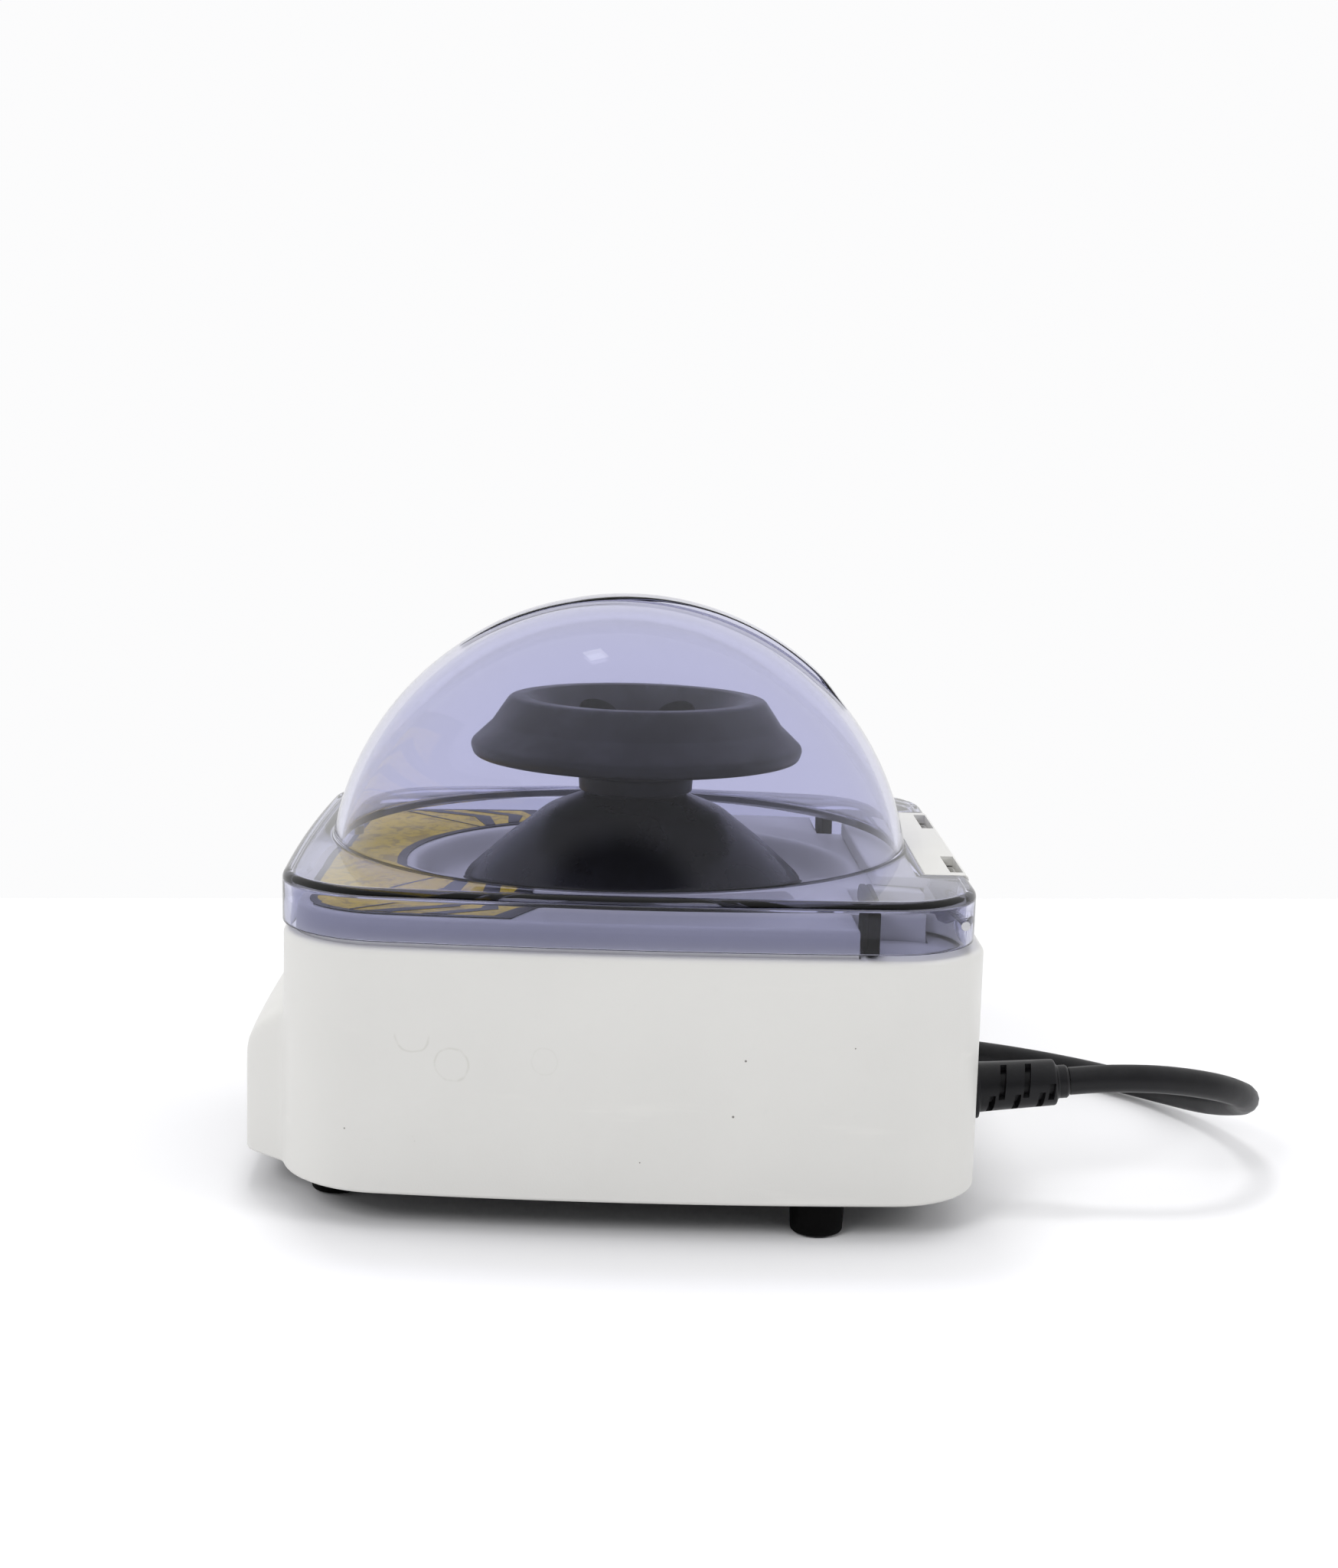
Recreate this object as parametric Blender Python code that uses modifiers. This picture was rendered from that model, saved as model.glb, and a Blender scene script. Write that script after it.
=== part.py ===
"""Bench-top mini centrifuge: box-shaped ivory housing, hinged clear lid with a dome, spinning fixed-angle rotor.

Metres, +Z up.  The front (with the raised switch panel) faces -Y, the hinge is at +Y.
The origin is on the table, under the middle of the housing.
"""
import math

import bmesh
import bpy
from mathutils import Matrix, Vector

MM = 0.001

# ---------------------------------------------------------------- driving dimensions, in millimetres
HALF_WIDTH = 75.0            # half width of the housing at its widest
WIDEST_Y = 20.0              # where the bowed sides are widest
SIDE_BOW = 2.4               # how much the side falls in, 60 mm from the widest place
FRONT_Y = -75.4              # front wall
REAR_Y = 85.3                # rear wall
FRONT_BOW = 1.0              # how much the front wall falls back, 50 mm from the middle
FRONT_CORNER, REAR_CORNER = 22.0, 20.0
BULGE = 9.9                  # how far the front panel stands out
BULGE_HALF = 50.2            # half width of its foot
HOUSING_BOTTOM, HOUSING_TOP = 8.3, 64.6
WALL = 2.4
DECK_TOP = 71.3
DECK_INSET = 3.3             # from the housing's outline to the deck's wall
DECK_WALL = 2.0
NOTCH_X, NOTCH_Y, DECK_REAR_Y = 45.6, 55.3, 73.0
AXIS_Y = 5.4                 # rotor axis
BOWL_R = 54.6                # mouth of the rotor bowl
BOWL_FLOOR = 64.0
LID_TOP, LID_BOTTOM = 78.0, 66.0
LID_WALL = 2.2
LID_REAR_Y = 83.0
LID_PROUD = 0.3              # the skirt stands this far outside the housing
DOME_Y, DOME_Z, DOME_R = 1.8, 65.5, 71.5
RIB_Y, RIB_Z, RIB_R, RIB_WIDTH = 3.4, 69.0, 68.7, 12.0   # low crown rib: arc centre and radius, width
HINGE_Y, HINGE_Z = 79.4, 71.2
PIN_R, PIN_HOLE_R = 1.05, 1.14
COVER_HALF = 41.5            # half width of the hinge cover
CUTOUT_HALF = 42.0           # half width of the lid's rear cutout
ROTOR_R = 40.7
SHAFT_R = 2.0
TUBE_COUNT, TUBE_R = 6, 5.4
RELIEF_X, RELIEF_Z, RELIEF_TILT = 38.5, 26.3, math.radians(5.0)
CORD_R = 3.3
COIL_C = (-137.0, 34.0)
COIL_MEAN_R = 36.0
GAP = 0.3

for old in list(bpy.data.objects):
    bpy.data.objects.remove(old, do_unlink=True)
scene = bpy.context.scene
parts = bpy.data.collections.new("mini_centrifuge")
cutters = bpy.data.collections.new("cutters")
scene.collection.children.link(parts)
scene.collection.children.link(cutters)

COLOURS = {
    "ivory": ((0.80, 0.79, 0.70), 0.45, 0.0),
    "tint": ((0.55, 0.52, 0.78), 0.08, 0.0),
    "black": ((0.02, 0.02, 0.022), 0.45, 0.0),
    "rubber": ((0.015, 0.015, 0.015), 0.75, 0.0),
    "steel": ((0.62, 0.62, 0.64), 0.25, 1.0),
    "label": ((0.75, 0.60, 0.08), 0.5, 0.0),
    "board": ((0.03, 0.16, 0.06), 0.5, 0.0),
    "copper": ((0.62, 0.30, 0.14), 0.35, 1.0),
    "core": ((0.22, 0.22, 0.24), 0.5, 1.0),
}


def finish(obj, colour, smooth=35.0):
    """Own Principled material, smooth shading and the parts collection."""
    rgb, rough, metal = COLOURS[colour]
    mat = bpy.data.materials.new(obj.name)
    mat.use_nodes = True
    shader = mat.node_tree.nodes["Principled BSDF"]
    shader.inputs["Base Color"].default_value = (*rgb, 1.0)
    shader.inputs["Roughness"].default_value = rough
    shader.inputs["Metallic"].default_value = metal
    if colour == "tint":
        shader.inputs["Transmission Weight"].default_value = 0.9
    obj.data.materials.clear()
    obj.data.materials.append(mat)
    if obj.type == "MESH" and smooth:
        obj.data.shade_smooth()
        obj.data.set_sharp_from_angle(angle=math.radians(smooth))
    return obj


def from_bmesh(name, bm, collection=parts, location=(0, 0, 0)):
    mesh = bpy.data.meshes.new(name)
    bm.to_mesh(mesh)
    bm.free()
    obj = bpy.data.objects.new(name, mesh)
    obj.location = [c * MM for c in location]
    collection.objects.link(obj)
    return obj


def as_cutter(obj):
    obj.hide_render = True
    obj.display_type = "WIRE"
    return obj


def boolean(obj, cutter, operation="DIFFERENCE"):
    mod = obj.modifiers.new(operation.lower(), "BOOLEAN")
    mod.operation = operation
    mod.solver = "EXACT"
    mod.object = cutter


def add_box(bm, lo, hi, bevel=0.0):
    """A box between two corners, in mm, optionally with its edges rounded."""
    size = [(h - l) * MM for l, h in zip(lo, hi)]
    mid = [(h + l) * 0.5 * MM for l, h in zip(lo, hi)]
    made = bmesh.ops.create_cube(bm, size=1.0, matrix=Matrix.Translation(mid) @ Matrix.Diagonal((*size, 1.0)))
    if bevel:
        verts = set(made["verts"])
        edges = [e for e in bm.edges if e.verts[0] in verts and e.verts[1] in verts]
        bmesh.ops.bevel(bm, geom=edges, offset=bevel * MM, segments=1, affect="EDGES", clamp_overlap=True)


def add_cylinder(bm, centre, r1, r2, z0, z1, segments=24, axis="Z"):
    """A cylinder or cone along an axis; centre is the point on the axis, z0..z1 the span along it."""
    turn = {"Z": Matrix.Identity(4), "X": Matrix.Rotation(math.pi / 2, 4, "Y"), "Y": Matrix.Rotation(-math.pi / 2, 4, "X")}[axis]
    mid = (z0 + z1) * 0.5
    place = {"Z": (centre[0], centre[1], mid), "X": (mid, centre[0], centre[1]), "Y": (centre[0], mid, centre[1])}[axis]
    bmesh.ops.create_cone(bm, cap_ends=True, segments=segments, radius1=r1 * MM, radius2=r2 * MM, depth=(z1 - z0) * MM,
                          matrix=Matrix.Translation([c * MM for c in place]) @ turn)


def box(name, lo, hi, colour, bevel=0.0):
    bm = bmesh.new()
    add_box(bm, lo, hi, bevel)
    return finish(from_bmesh(name, bm), colour)


def prism(name, outline, lo, hi, axis, colour=None, side=1, collection=parts):
    """Extrude an outline.  axis Z: outline in x, y.  axis X: outline in y, z.  side -1 makes the mirrored copy."""
    bm = bmesh.new()
    if axis == "Z":
        ring = [(side * a * MM, b * MM, lo * MM) for a, b in outline]
        move = Vector((0, 0, (hi - lo) * MM))
    else:
        ring = [(side * lo * MM, a * MM, b * MM) for a, b in outline]
        move = Vector((side * (hi - lo) * MM, 0, 0))
    face = bm.faces.new([bm.verts.new(p) for p in ring])
    made = bmesh.ops.extrude_face_region(bm, geom=[face])
    bmesh.ops.translate(bm, vec=move, verts=[g for g in made["geom"] if isinstance(g, bmesh.types.BMVert)])
    bmesh.ops.recalc_face_normals(bm, faces=bm.faces)
    obj = from_bmesh(name, bm, collection)
    return finish(obj, colour) if colour else as_cutter(obj)


def turned(name, profile, colour, centre=(0.0, 0.0), steps=32, bevel=0.0):
    """A turned piece: a closed profile at +X, running down its outer side, with a Screw modifier."""
    bm = bmesh.new()
    verts = [bm.verts.new((r * MM, 0, z * MM)) for r, z in profile]
    closed = profile[0][0] > 1e-6 or profile[-1][0] > 1e-6
    for a, b in zip(verts, verts[1:]):
        bm.edges.new((a, b))
    if closed:
        bm.edges.new((verts[-1], verts[0]))
    obj = from_bmesh(name, bm, location=(centre[0], centre[1], 0))
    mod = obj.modifiers.new("turn", "SCREW")
    mod.steps = mod.render_steps = steps
    mod.use_merge_vertices = True
    mod.merge_threshold = 1e-6
    mod.use_smooth_shade = True
    if bevel:
        edge = obj.modifiers.new("edge", "BEVEL")
        edge.width = bevel * MM
        edge.limit_method = "ANGLE"
        edge.angle_limit = math.radians(50)
    return finish(obj, colour, smooth=0)


# ---------------------------------------------------------------- outlines
def rounded_box(x, y, rear):
    """Signed distance, in mm, to the housing's outline: bowed sides and front, rounded corners."""
    half = HALF_WIDTH - SIDE_BOW * ((y - WIDEST_Y) / 60.0) ** 2
    sx = abs(x) * HALF_WIDTH / half
    sy = y - (FRONT_BOW * (x / 50.0) ** 2 * (-y / 75.0) if y < 0 else 0.0)
    mid, reach = (rear + FRONT_Y) / 2, (rear - FRONT_Y) / 2
    r = FRONT_CORNER if y < mid else REAR_CORNER
    qx, qy = sx - HALF_WIDTH + r, abs(sy - mid) - reach + r
    return min(max(qx, qy), 0.0) + math.hypot(max(qx, 0.0), max(qy, 0.0)) - r


def smooth_max(a, b, k):
    return 0.5 * (a + b + math.sqrt((a - b) ** 2 + k * k))


def body_distance(x, y, bulge, rear=REAR_Y):
    d = rounded_box(x, y, rear)
    if bulge > 0.01:
        front = -y + FRONT_Y - bulge + 0.6 * (x / 40.0) ** 2
        slant = 0.753 * (abs(x) - BULGE_HALF) - 0.658 * (y + 75.0)
        shape = smooth_max(front, slant, 1.6)
        d = -smooth_max(-d, -max(shape, y + 68.0), 0.6)
    return d


def radius_at(angle, centre_y, inset, bulge=0.0, rear=REAR_Y):
    """Distance from (0, centre_y) along a ray to the outline, drawn in by inset."""
    lo, hi = 30.0, 130.0
    for _ in range(40):
        mid = (lo + hi) / 2
        if body_distance(mid * math.cos(angle), centre_y + mid * math.sin(angle), bulge, rear) + inset < 0:
            lo = mid
        else:
            hi = mid
    return lo


def deck_radius(angle, grow=0.0):
    """Distance from the rotor axis to the deck's wall, which steps in at both rear corners."""
    r = radius_at(angle, AXIS_Y, DECK_INSET)
    c, s = abs(math.cos(angle)), math.sin(angle)
    if s > 1e-6:
        r = min(r, (DECK_REAR_Y - AXIS_Y) / s)
        to_y, to_x = (NOTCH_Y - AXIS_Y) / s, (NOTCH_X / c if c > 1e-6 else 1e9)
        r = min(r, max(to_y, to_x))
    return r + grow


def key_angles(count, points):
    """Evenly spread directions, with one through each of the points and none just beside them."""
    keys = [math.atan2(y - AXIS_Y, x) for x, y in points]
    even = [-math.pi + 2 * math.pi * i / count for i in range(count)]
    even = [a for a in even if all(abs(math.remainder(a - k, 2 * math.pi)) > math.radians(2.4) for k in keys)]
    return sorted(even + keys)


side_x = HALF_WIDTH - SIDE_BOW * ((NOTCH_Y - WIDEST_Y) / 60.0) ** 2 - DECK_INSET
corner_points = []
for side in (1, -1):
    corner_points += [(side * side_x, NOTCH_Y), (side * NOTCH_X, NOTCH_Y), (side * NOTCH_X, DECK_REAR_Y),
                      (side * 49.6, -75.3), (side * 44.5, -81.0), (side * 39.0, -85.0)]
ANGLES = key_angles(48, corner_points)


def loft(name, rings, thickness, colour, pole=None, flip=False):
    """An open surface through rings of points, given thickness towards the inside."""
    bm = bmesh.new()
    rows = [[bm.verts.new([c * MM for c in p]) for p in ring] for ring in rings]
    n = len(rows[0])
    for a, b in zip(rows, rows[1:]):
        for i in range(n):
            j = (i + 1) % n
            bm.faces.new((a[i], b[i], b[j], a[j]))
    if pole:
        top = bm.verts.new([c * MM for c in pole])
        for i in range(n):
            bm.faces.new((top, rows[0][i], rows[0][(i + 1) % n]))
    if flip:
        bmesh.ops.reverse_faces(bm, faces=bm.faces)
    obj = from_bmesh(name, bm)
    finish(obj, colour, 30.0)
    mod = obj.modifiers.new("wall", "SOLIDIFY")
    mod.thickness = thickness * MM
    mod.offset = -1.0
    mod.use_even_offset = True
    mod.use_rim = True
    return obj


def ring_of(radius, z, centre_y=AXIS_Y, angles=None):
    angles = ANGLES if angles is None else angles
    get = radius if callable(radius) else (lambda a: radius)
    return [(get(a) * math.cos(a), centre_y + get(a) * math.sin(a), z) for a in angles]


# ---------------------------------------------------------------- housing
def housing_ring(z, inset, bulge):
    return ring_of(lambda a: radius_at(a, AXIS_Y, inset, bulge), z)


housing = loft("base_housing", [
    ring_of(lambda a: deck_radius(a, 0.5), HOUSING_TOP),
    housing_ring(HOUSING_TOP, 1.6, 0.0),
    housing_ring(HOUSING_TOP - 0.5, 0.45, 0.0),
    housing_ring(HOUSING_TOP - 1.7, 0.0, 0.0),
    housing_ring(44.2, 0.0, 0.0),
    housing_ring(41.0, 0.0, 4.9),
    housing_ring(37.8, 0.0, 7.8),
    housing_ring(32.5, 0.0, BULGE),
    housing_ring(HOUSING_BOTTOM + 0.9, 0.0, BULGE),
    housing_ring(HOUSING_BOTTOM, 0.7, BULGE),
], WALL, "ivory")

# window in the front of the raised panel, and the hole for the cord in the rear wall
WINDOW = (-31.0, 31.0, 11.5, 30.5)
bm = bmesh.new()
add_box(bm, (WINDOW[0], -95, WINDOW[2]), (WINDOW[1], -78, WINDOW[3]))
boolean(housing, as_cutter(from_bmesh("cut_window", bm, cutters)))
bm = bmesh.new()
add_cylinder(bm, (RELIEF_X, RELIEF_Z), 6.2, 6.2, 78, 92, 24, "Y")
boolean(housing, as_cutter(from_bmesh("cut_cord_hole", bm, cutters)))

# bottom plate, closing the housing from below, with rows of vent slots
plate_outline = [(x, y) for x, y, _ in housing_ring(0, 3.0, BULGE)]
plate = prism("bottom_plate", plate_outline, HOUSING_BOTTOM + 0.3, HOUSING_BOTTOM + 2.5, "Z", "ivory")
bm = bmesh.new()
for i in range(5):
    add_box(bm, (-16, -14 + 9 * i, 5), (16, -10.5 + 9 * i, 14))
boolean(plate, as_cutter(from_bmesh("cut_vents", bm, cutters)))

FEET = [(65.0, 48.5), (-65.0, 48.5), (42.2, -62.7), (-42.2, -62.7)]


def rod(name, centre, r1, r2, z0, z1, colour, segments=16, axis="Z"):
    bm = bmesh.new()
    add_cylinder(bm, centre, r1, r2, z0, z1, segments, axis)
    return finish(from_bmesh(name, bm), colour)


CORNERS = ("rear_right", "rear_left", "front_right", "front_left")


# round rubber feet with a screw recess underneath
bm = bmesh.new()
for c in FEET:
    add_cylinder(bm, c, 3.3, 3.3, -2.0, 3.4, 16)
recess = as_cutter(from_bmesh("cut_foot_recess", bm, cutters))
for corner, c in zip(CORNERS, FEET):
    boolean(rod("rubber_foot_" + corner, c, 6.0, 6.35, 0.0, 8.3, "rubber", 24), recess)
    rod("foot_screw_" + corner, c, 2.2, 2.9, 1.6, 3.1, "steel", 12)
# four screw posts stand on the bottom plate and carry the deck
bm = bmesh.new()
for x in (62.0, -62.0):
    for y in (-43.0, 43.0):
        add_cylinder(bm, (x, y), 4.2, 3.6, 10.0, 68.9, 12)
boolean(plate, as_cutter(from_bmesh("join_posts", bm, cutters)), "UNION")

# ---------------------------------------------------------------- deck with the rotor bowl
deck = loft("chamber_deck", [
    ring_of(20.0, BOWL_FLOOR),
    ring_of(46.5, BOWL_FLOOR),
    ring_of(50.5, BOWL_FLOOR + 2.2),
    ring_of(53.0, DECK_TOP - 1.2),
    ring_of(BOWL_R, DECK_TOP),
    ring_of(lambda a: deck_radius(a, -1.2), DECK_TOP),
    ring_of(deck_radius, DECK_TOP - 1.2),
    ring_of(deck_radius, 60.0),
], DECK_WALL, "ivory")
# hole in its front wall for the latch nose
bm = bmesh.new()
add_box(bm, (11.0, -74, 66.6), (17.0, -68.5, 69.0))
boolean(deck, as_cutter(from_bmesh("cut_latch_hole", bm, cutters)))

# warning-style arc label around the front of the bowl (plain, no text)
label_angles = []
LABEL_END_Y = -19.0
half_span = math.atan2(62.0, abs(LABEL_END_Y - AXIS_Y))
for i in range(41):
    label_angles.append(-math.pi / 2 - half_span + 2 * half_span * i / 40)
bm = bmesh.new()
rows = []
for a in label_angles:
    outer = min(deck_radius(a, -1.9), radius_at(a, AXIS_Y, 6.2) if abs(math.cos(a)) < 0.62 else 200.0)
    rows.append([bm.verts.new((r * math.cos(a) * MM, (AXIS_Y + r * math.sin(a)) * MM, (DECK_TOP + GAP) * MM))
                 for r in (56.0, outer)])
for a, b in zip(rows, rows[1:]):
    bm.faces.new((a[0], a[1], b[1], b[0]))
label = from_bmesh("deck_label", bm)
finish(label, "label")
mod = label.modifiers.new("film", "SOLIDIFY")
mod.thickness = 0.2 * MM
mod.offset = -1.0

# black rubber seal at both rear corners, L-shaped in plan
for side, word in ((1, "right"), (-1, "left")):
    prism("chamber_seal_" + word, [(46.4, 56.7), (71.3, 56.7), (71.3, 60.1), (48.8, 60.1), (48.8, 66.0), (46.4, 66.0)], 65.0, 75.4, "Z", "rubber", side)

# ---------------------------------------------------------------- motor and its cone-shaped shroud
turned("motor_shroud", [(4.6, 88.8), (12.4, 88.8), (14.2, 88.2), (21.8, 85.0), (31.4, 77.2), (36.4, 73.0), (40.4, 70.3), (42.3, 67.0), (42.3, 64.4),
                        (40.5, 64.4), (40.5, 66.6), (38.9, 69.0), (35.1, 71.5), (30.0, 75.7), (20.8, 83.2), (13.6, 86.4), (12.0, 86.9), (4.6, 86.9)],
       "black", (0, AXIS_Y), 40)
turned("motor_can", [(2.4, 70.2), (5.6, 70.2), (6.0, 69.8), (6.0, 65.9), (16.4, 65.9), (17.5, 64.8), (17.5, 23.0), (16.6, 22.1), (0.0, 22.1),
                     (0.0, 66.2), (2.4, 66.2)][:9] + [(0.0, 66.2), (2.4, 66.2)], "steel", (0, AXIS_Y), 32)
turned("motor_end_cap", [(0.0, 21.8), (16.2, 21.8), (16.2, 18.2), (5.0, 18.2), (5.0, 15.6), (0.0, 15.6)], "black", (0, AXIS_Y), 24)
turned("motor_mount", [(6.4, 67.8), (28.6, 67.8), (29.0, 67.4), (29.0, 66.2), (6.4, 66.2)], "steel", (0, AXIS_Y), 32)
MOUNTS = [(24.3 * math.cos(a), AXIS_Y + 24.3 * math.sin(a)) for a in (math.pi / 2, math.pi * 7 / 6, math.pi * 11 / 6)]
for word, c in zip(("rear", "left", "right"), MOUNTS):
    rod("mount_grommet_" + word, c, 3.6, 3.6, 64.3, 65.9, "rubber", 14)
    rod("mount_screw_" + word, c, 2.8, 2.2, 68.1, 70.1, "steel", 12)

# ---------------------------------------------------------------- electronics
box("power_board", (-46, 36, 15.8), (30, 76, 17.4), "board")
prism("board_bracket", [(38.0, 11.1), (38.0, 15.5), (42.0, 15.5), (42.0, 12.6), (70.0, 12.6), (70.0, 15.5), (74.0, 15.5), (74.0, 11.1)], -40.0, 24.0, "X", "steel")


rod("capacitor_left", (-34, 48), 5.6, 5.6, 17.7, 33.0, "black")
rod("capacitor_right", (-19, 48), 5.6, 5.6, 17.7, 33.0, "black")
box("relay", (-6, 42, 17.7), (9, 60, 30.0), "black", 0.6)
box("terminal_block", (14, 44, 17.7), (25, 64, 26.0), "black", 0.6)
box("transformer_core", (-57, -58, 13.0), (-21, -24, 41.0), "core", 0.8)
box("transformer_winding_rear", (-52, -23.6, 16.0), (-26, -18.6, 38.0), "copper", 1.0)
box("transformer_winding_front", (-52, -63.4, 16.0), (-26, -58.4, 38.0), "copper", 1.0)

# ---------------------------------------------------------------- front panel, power rocker, lid release
panel = box("front_panel", (-34.0, -82.0, 11.3), (34.0, -80.5, 31.2), "black")
bm = bmesh.new()
add_box(bm, (-23.8, -90, 13.2), (-8.2, -75, 28.8))
add_box(bm, (4.6, -90, 15.0), (23.4, -75, 27.0))
boolean(panel, as_cutter(from_bmesh("cut_panel", bm, cutters)))

bm = bmesh.new()
add_box(bm, (-23.5, -82.8, 13.5), (-8.5, -64.0, 28.5))
switch = finish(from_bmesh("switch_body", bm), "black")
bm = bmesh.new()
add_box(bm, (-25.0, -84.0, 12.2), (-7.0, -82.6, 29.8), 0.4)
boolean(switch, as_cutter(from_bmesh("join_bezel", bm, cutters)), "UNION")
bm = bmesh.new()
add_box(bm, (-22.4, -90.0, 14.2), (-9.6, -73.0, 27.8))
boolean(switch, as_cutter(from_bmesh("cut_rocker_well", bm, cutters)))

ROCKER_PIVOT = (-80.3, 21.0)
rocker_profile = [(-3.6, 6.1), (-2.3, 0.0), (-3.6, -6.1), (0.4, -5.6), (3.0, 0.0), (0.4, 5.6)]
tilt = math.radians(9.0)
bm = bmesh.new()
ring = []
for a, b in rocker_profile:
    ring.append(bm.verts.new((-6.0 * MM, (a * math.cos(tilt) - b * math.sin(tilt)) * MM, (a * math.sin(tilt) + b * math.cos(tilt)) * MM)))
face = bm.faces.new(ring)
made = bmesh.ops.extrude_face_region(bm, geom=[face])
bmesh.ops.translate(bm, vec=Vector((12.0 * MM, 0, 0)), verts=[g for g in made["geom"] if isinstance(g, bmesh.types.BMVert)])
bmesh.ops.recalc_face_normals(bm, faces=bm.faces)
finish(from_bmesh("power_rocker", bm, location=(-16.0, *ROCKER_PIVOT)), "black")

# release button with its retaining flange, and the latch arm behind it
bm = bmesh.new()
add_box(bm, (5.0, -84.9, 15.4), (23.0, -79.6, 26.6), 0.6)
button = finish(from_bmesh("release_button", bm), "ivory")
bm = bmesh.new()
add_box(bm, (3.6, -79.9, 14.0), (24.4, -78.6, 28.0))
boolean(button, as_cutter(from_bmesh("join_flange", bm, cutters)), "UNION")
prism("latch_arm", [(-78.3, 19.0), (-78.3, 23.0), (-68.6, 23.0), (-68.6, 67.0), (-72.0, 67.0), (-72.3, 67.4), (-72.0, 68.6), (-66.9, 68.6), (-66.9, 19.0)], 12.0, 16.0, "X", "black")
box("reed_sensor", (-26.0, -66.0, 65.0), (-14.0, -62.0, 68.6), "black")

# ---------------------------------------------------------------- hinge block, cover and pins (all fixed to the base)
block = prism("hinge_block", [(61.4, 71.6), (61.4, 75.0), (61.8, 75.4), (83.4, 75.4), (84.2, 74.6), (84.6, 65.0), (73.4, 65.0), (73.4, 71.6)], -COVER_HALF, COVER_HALF, "X", "ivory")
bm = bmesh.new()
for side in (1, -1):
    lo, hi = sorted((side * 39.0, side * 50.0))
    add_cylinder(bm, (HINGE_Y, HINGE_Z), PIN_R + 0.25, PIN_R + 0.25, lo, hi, 12, "X")
boolean(block, as_cutter(from_bmesh("cut_pin_seats", bm, cutters)))
bm = bmesh.new()
for side in (1, -1):
    lo, hi = sorted((side * 18.7, side * 38.2))
    add_box(bm, (lo, 79.1, 73.2), (hi, 82.1, 80.0))
slots = as_cutter(from_bmesh("cut_cover_slots", bm, cutters))
boolean(block, slots)

cover_r = 9.45


def arc_y(z, r):
    return HINGE_Y - math.sqrt(r * r - (z - HINGE_Z) ** 2)


cover = prism("hinge_cover", [(arc_y(75.7, cover_r), 75.7), (arc_y(76.5, cover_r), 76.5), (arc_y(77.3, cover_r), 77.3), (arc_y(78.0, cover_r), 78.0),
                              (82.2, 78.0), (82.8, 77.6), (83.0, 77.0), (83.0, 75.7)], -COVER_HALF, COVER_HALF, "X", "ivory")
boolean(cover, slots)


for side, word in ((1, "right"), (-1, "left")):
    lo, hi = sorted((side * 39.3, side * 65.4))
    rod("hinge_pin_" + word, (HINGE_Y, HINGE_Z), PIN_R, PIN_R, lo, hi, "steel", 12, "X")

# ---------------------------------------------------------------- lid (turns about the hinge pins)
lid_pivot = bpy.data.objects.new("lid_pivot", None)
lid_pivot.location = (0, HINGE_Y * MM, HINGE_Z * MM)
scene.collection.objects.link(lid_pivot)
bpy.context.view_layer.update()


def hang(obj, pivot):
    obj.parent = pivot
    obj.matrix_parent_inverse = pivot.matrix_world.inverted()


LID_ANGLES = [2 * math.pi * i / 52 for i in range(52)]


def lid_ring(z, inset):
    return ring_of(lambda a: radius_at(a, DOME_Y, inset - LID_PROUD, 0.0, LID_REAR_Y - LID_PROUD), z, DOME_Y, LID_ANGLES)


def dome_ring(polar):
    return ring_of(DOME_R * math.sin(polar), DOME_Z + DOME_R * math.cos(polar), DOME_Y, LID_ANGLES)


rim_polar = math.acos((LID_TOP - DOME_Z) / DOME_R)
lid = loft("lid_shell",
           [dome_ring(rim_polar * t) for t in (0.14, 0.29, 0.44, 0.58, 0.72, 0.86, 1.0)]
           + [lid_ring(LID_TOP, 2.3), lid_ring(LID_TOP - 0.6, 0.7), lid_ring(LID_TOP - 2.2, 0.0), lid_ring(LID_BOTTOM, 0.0)],
           LID_WALL, "tint", pole=(0, DOME_Y, DOME_Z + DOME_R))
# raised rib over the crown, front to back
rib = []
for i in range(21):
    a = math.radians(-30 + 84 * i / 20)
    sink = max(0.0, math.degrees(a) - 46.0) / 8.0
    rib.append((RIB_Y + (RIB_R - 1.6 * sink * sink) * math.sin(a), RIB_Z + (RIB_R - 1.6 * sink * sink) * math.cos(a)))
first, last = (math.asin((p[0] - DOME_Y) / (DOME_R - 1.0)) for p in (rib[0], rib[-1]))
for i in range(9):
    a = last + 0.02 - (last - first + 0.04) * i / 8
    rib.append((DOME_Y + (DOME_R - 1.0) * math.sin(a), DOME_Z + (DOME_R - 1.0) * math.cos(a)))
boolean(lid, prism("join_rib", rib, -RIB_WIDTH / 2, RIB_WIDTH / 2, "X", collection=cutters), "UNION")
# the cutout for the hinge cover is round about the hinge axis, so that the lid can swing past it
bm = bmesh.new()
add_cylinder(bm, (HINGE_Y, HINGE_Z), cover_r + 0.35, cover_r + 0.35, -CUTOUT_HALF, CUTOUT_HALF, 48, "X")
boolean(lid, as_cutter(from_bmesh("cut_hinge_zone", bm, cutters)))
bm = bmesh.new()
for side in (1, -1):
    lo, hi = sorted((side * 50.0, side * 72.0))
    add_cylinder(bm, (HINGE_Y, HINGE_Z), PIN_HOLE_R, PIN_HOLE_R, lo, hi, 12, "X")
boolean(lid, as_cutter(from_bmesh("cut_pin_holes", bm, cutters)))
hang(lid, lid_pivot)

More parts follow.
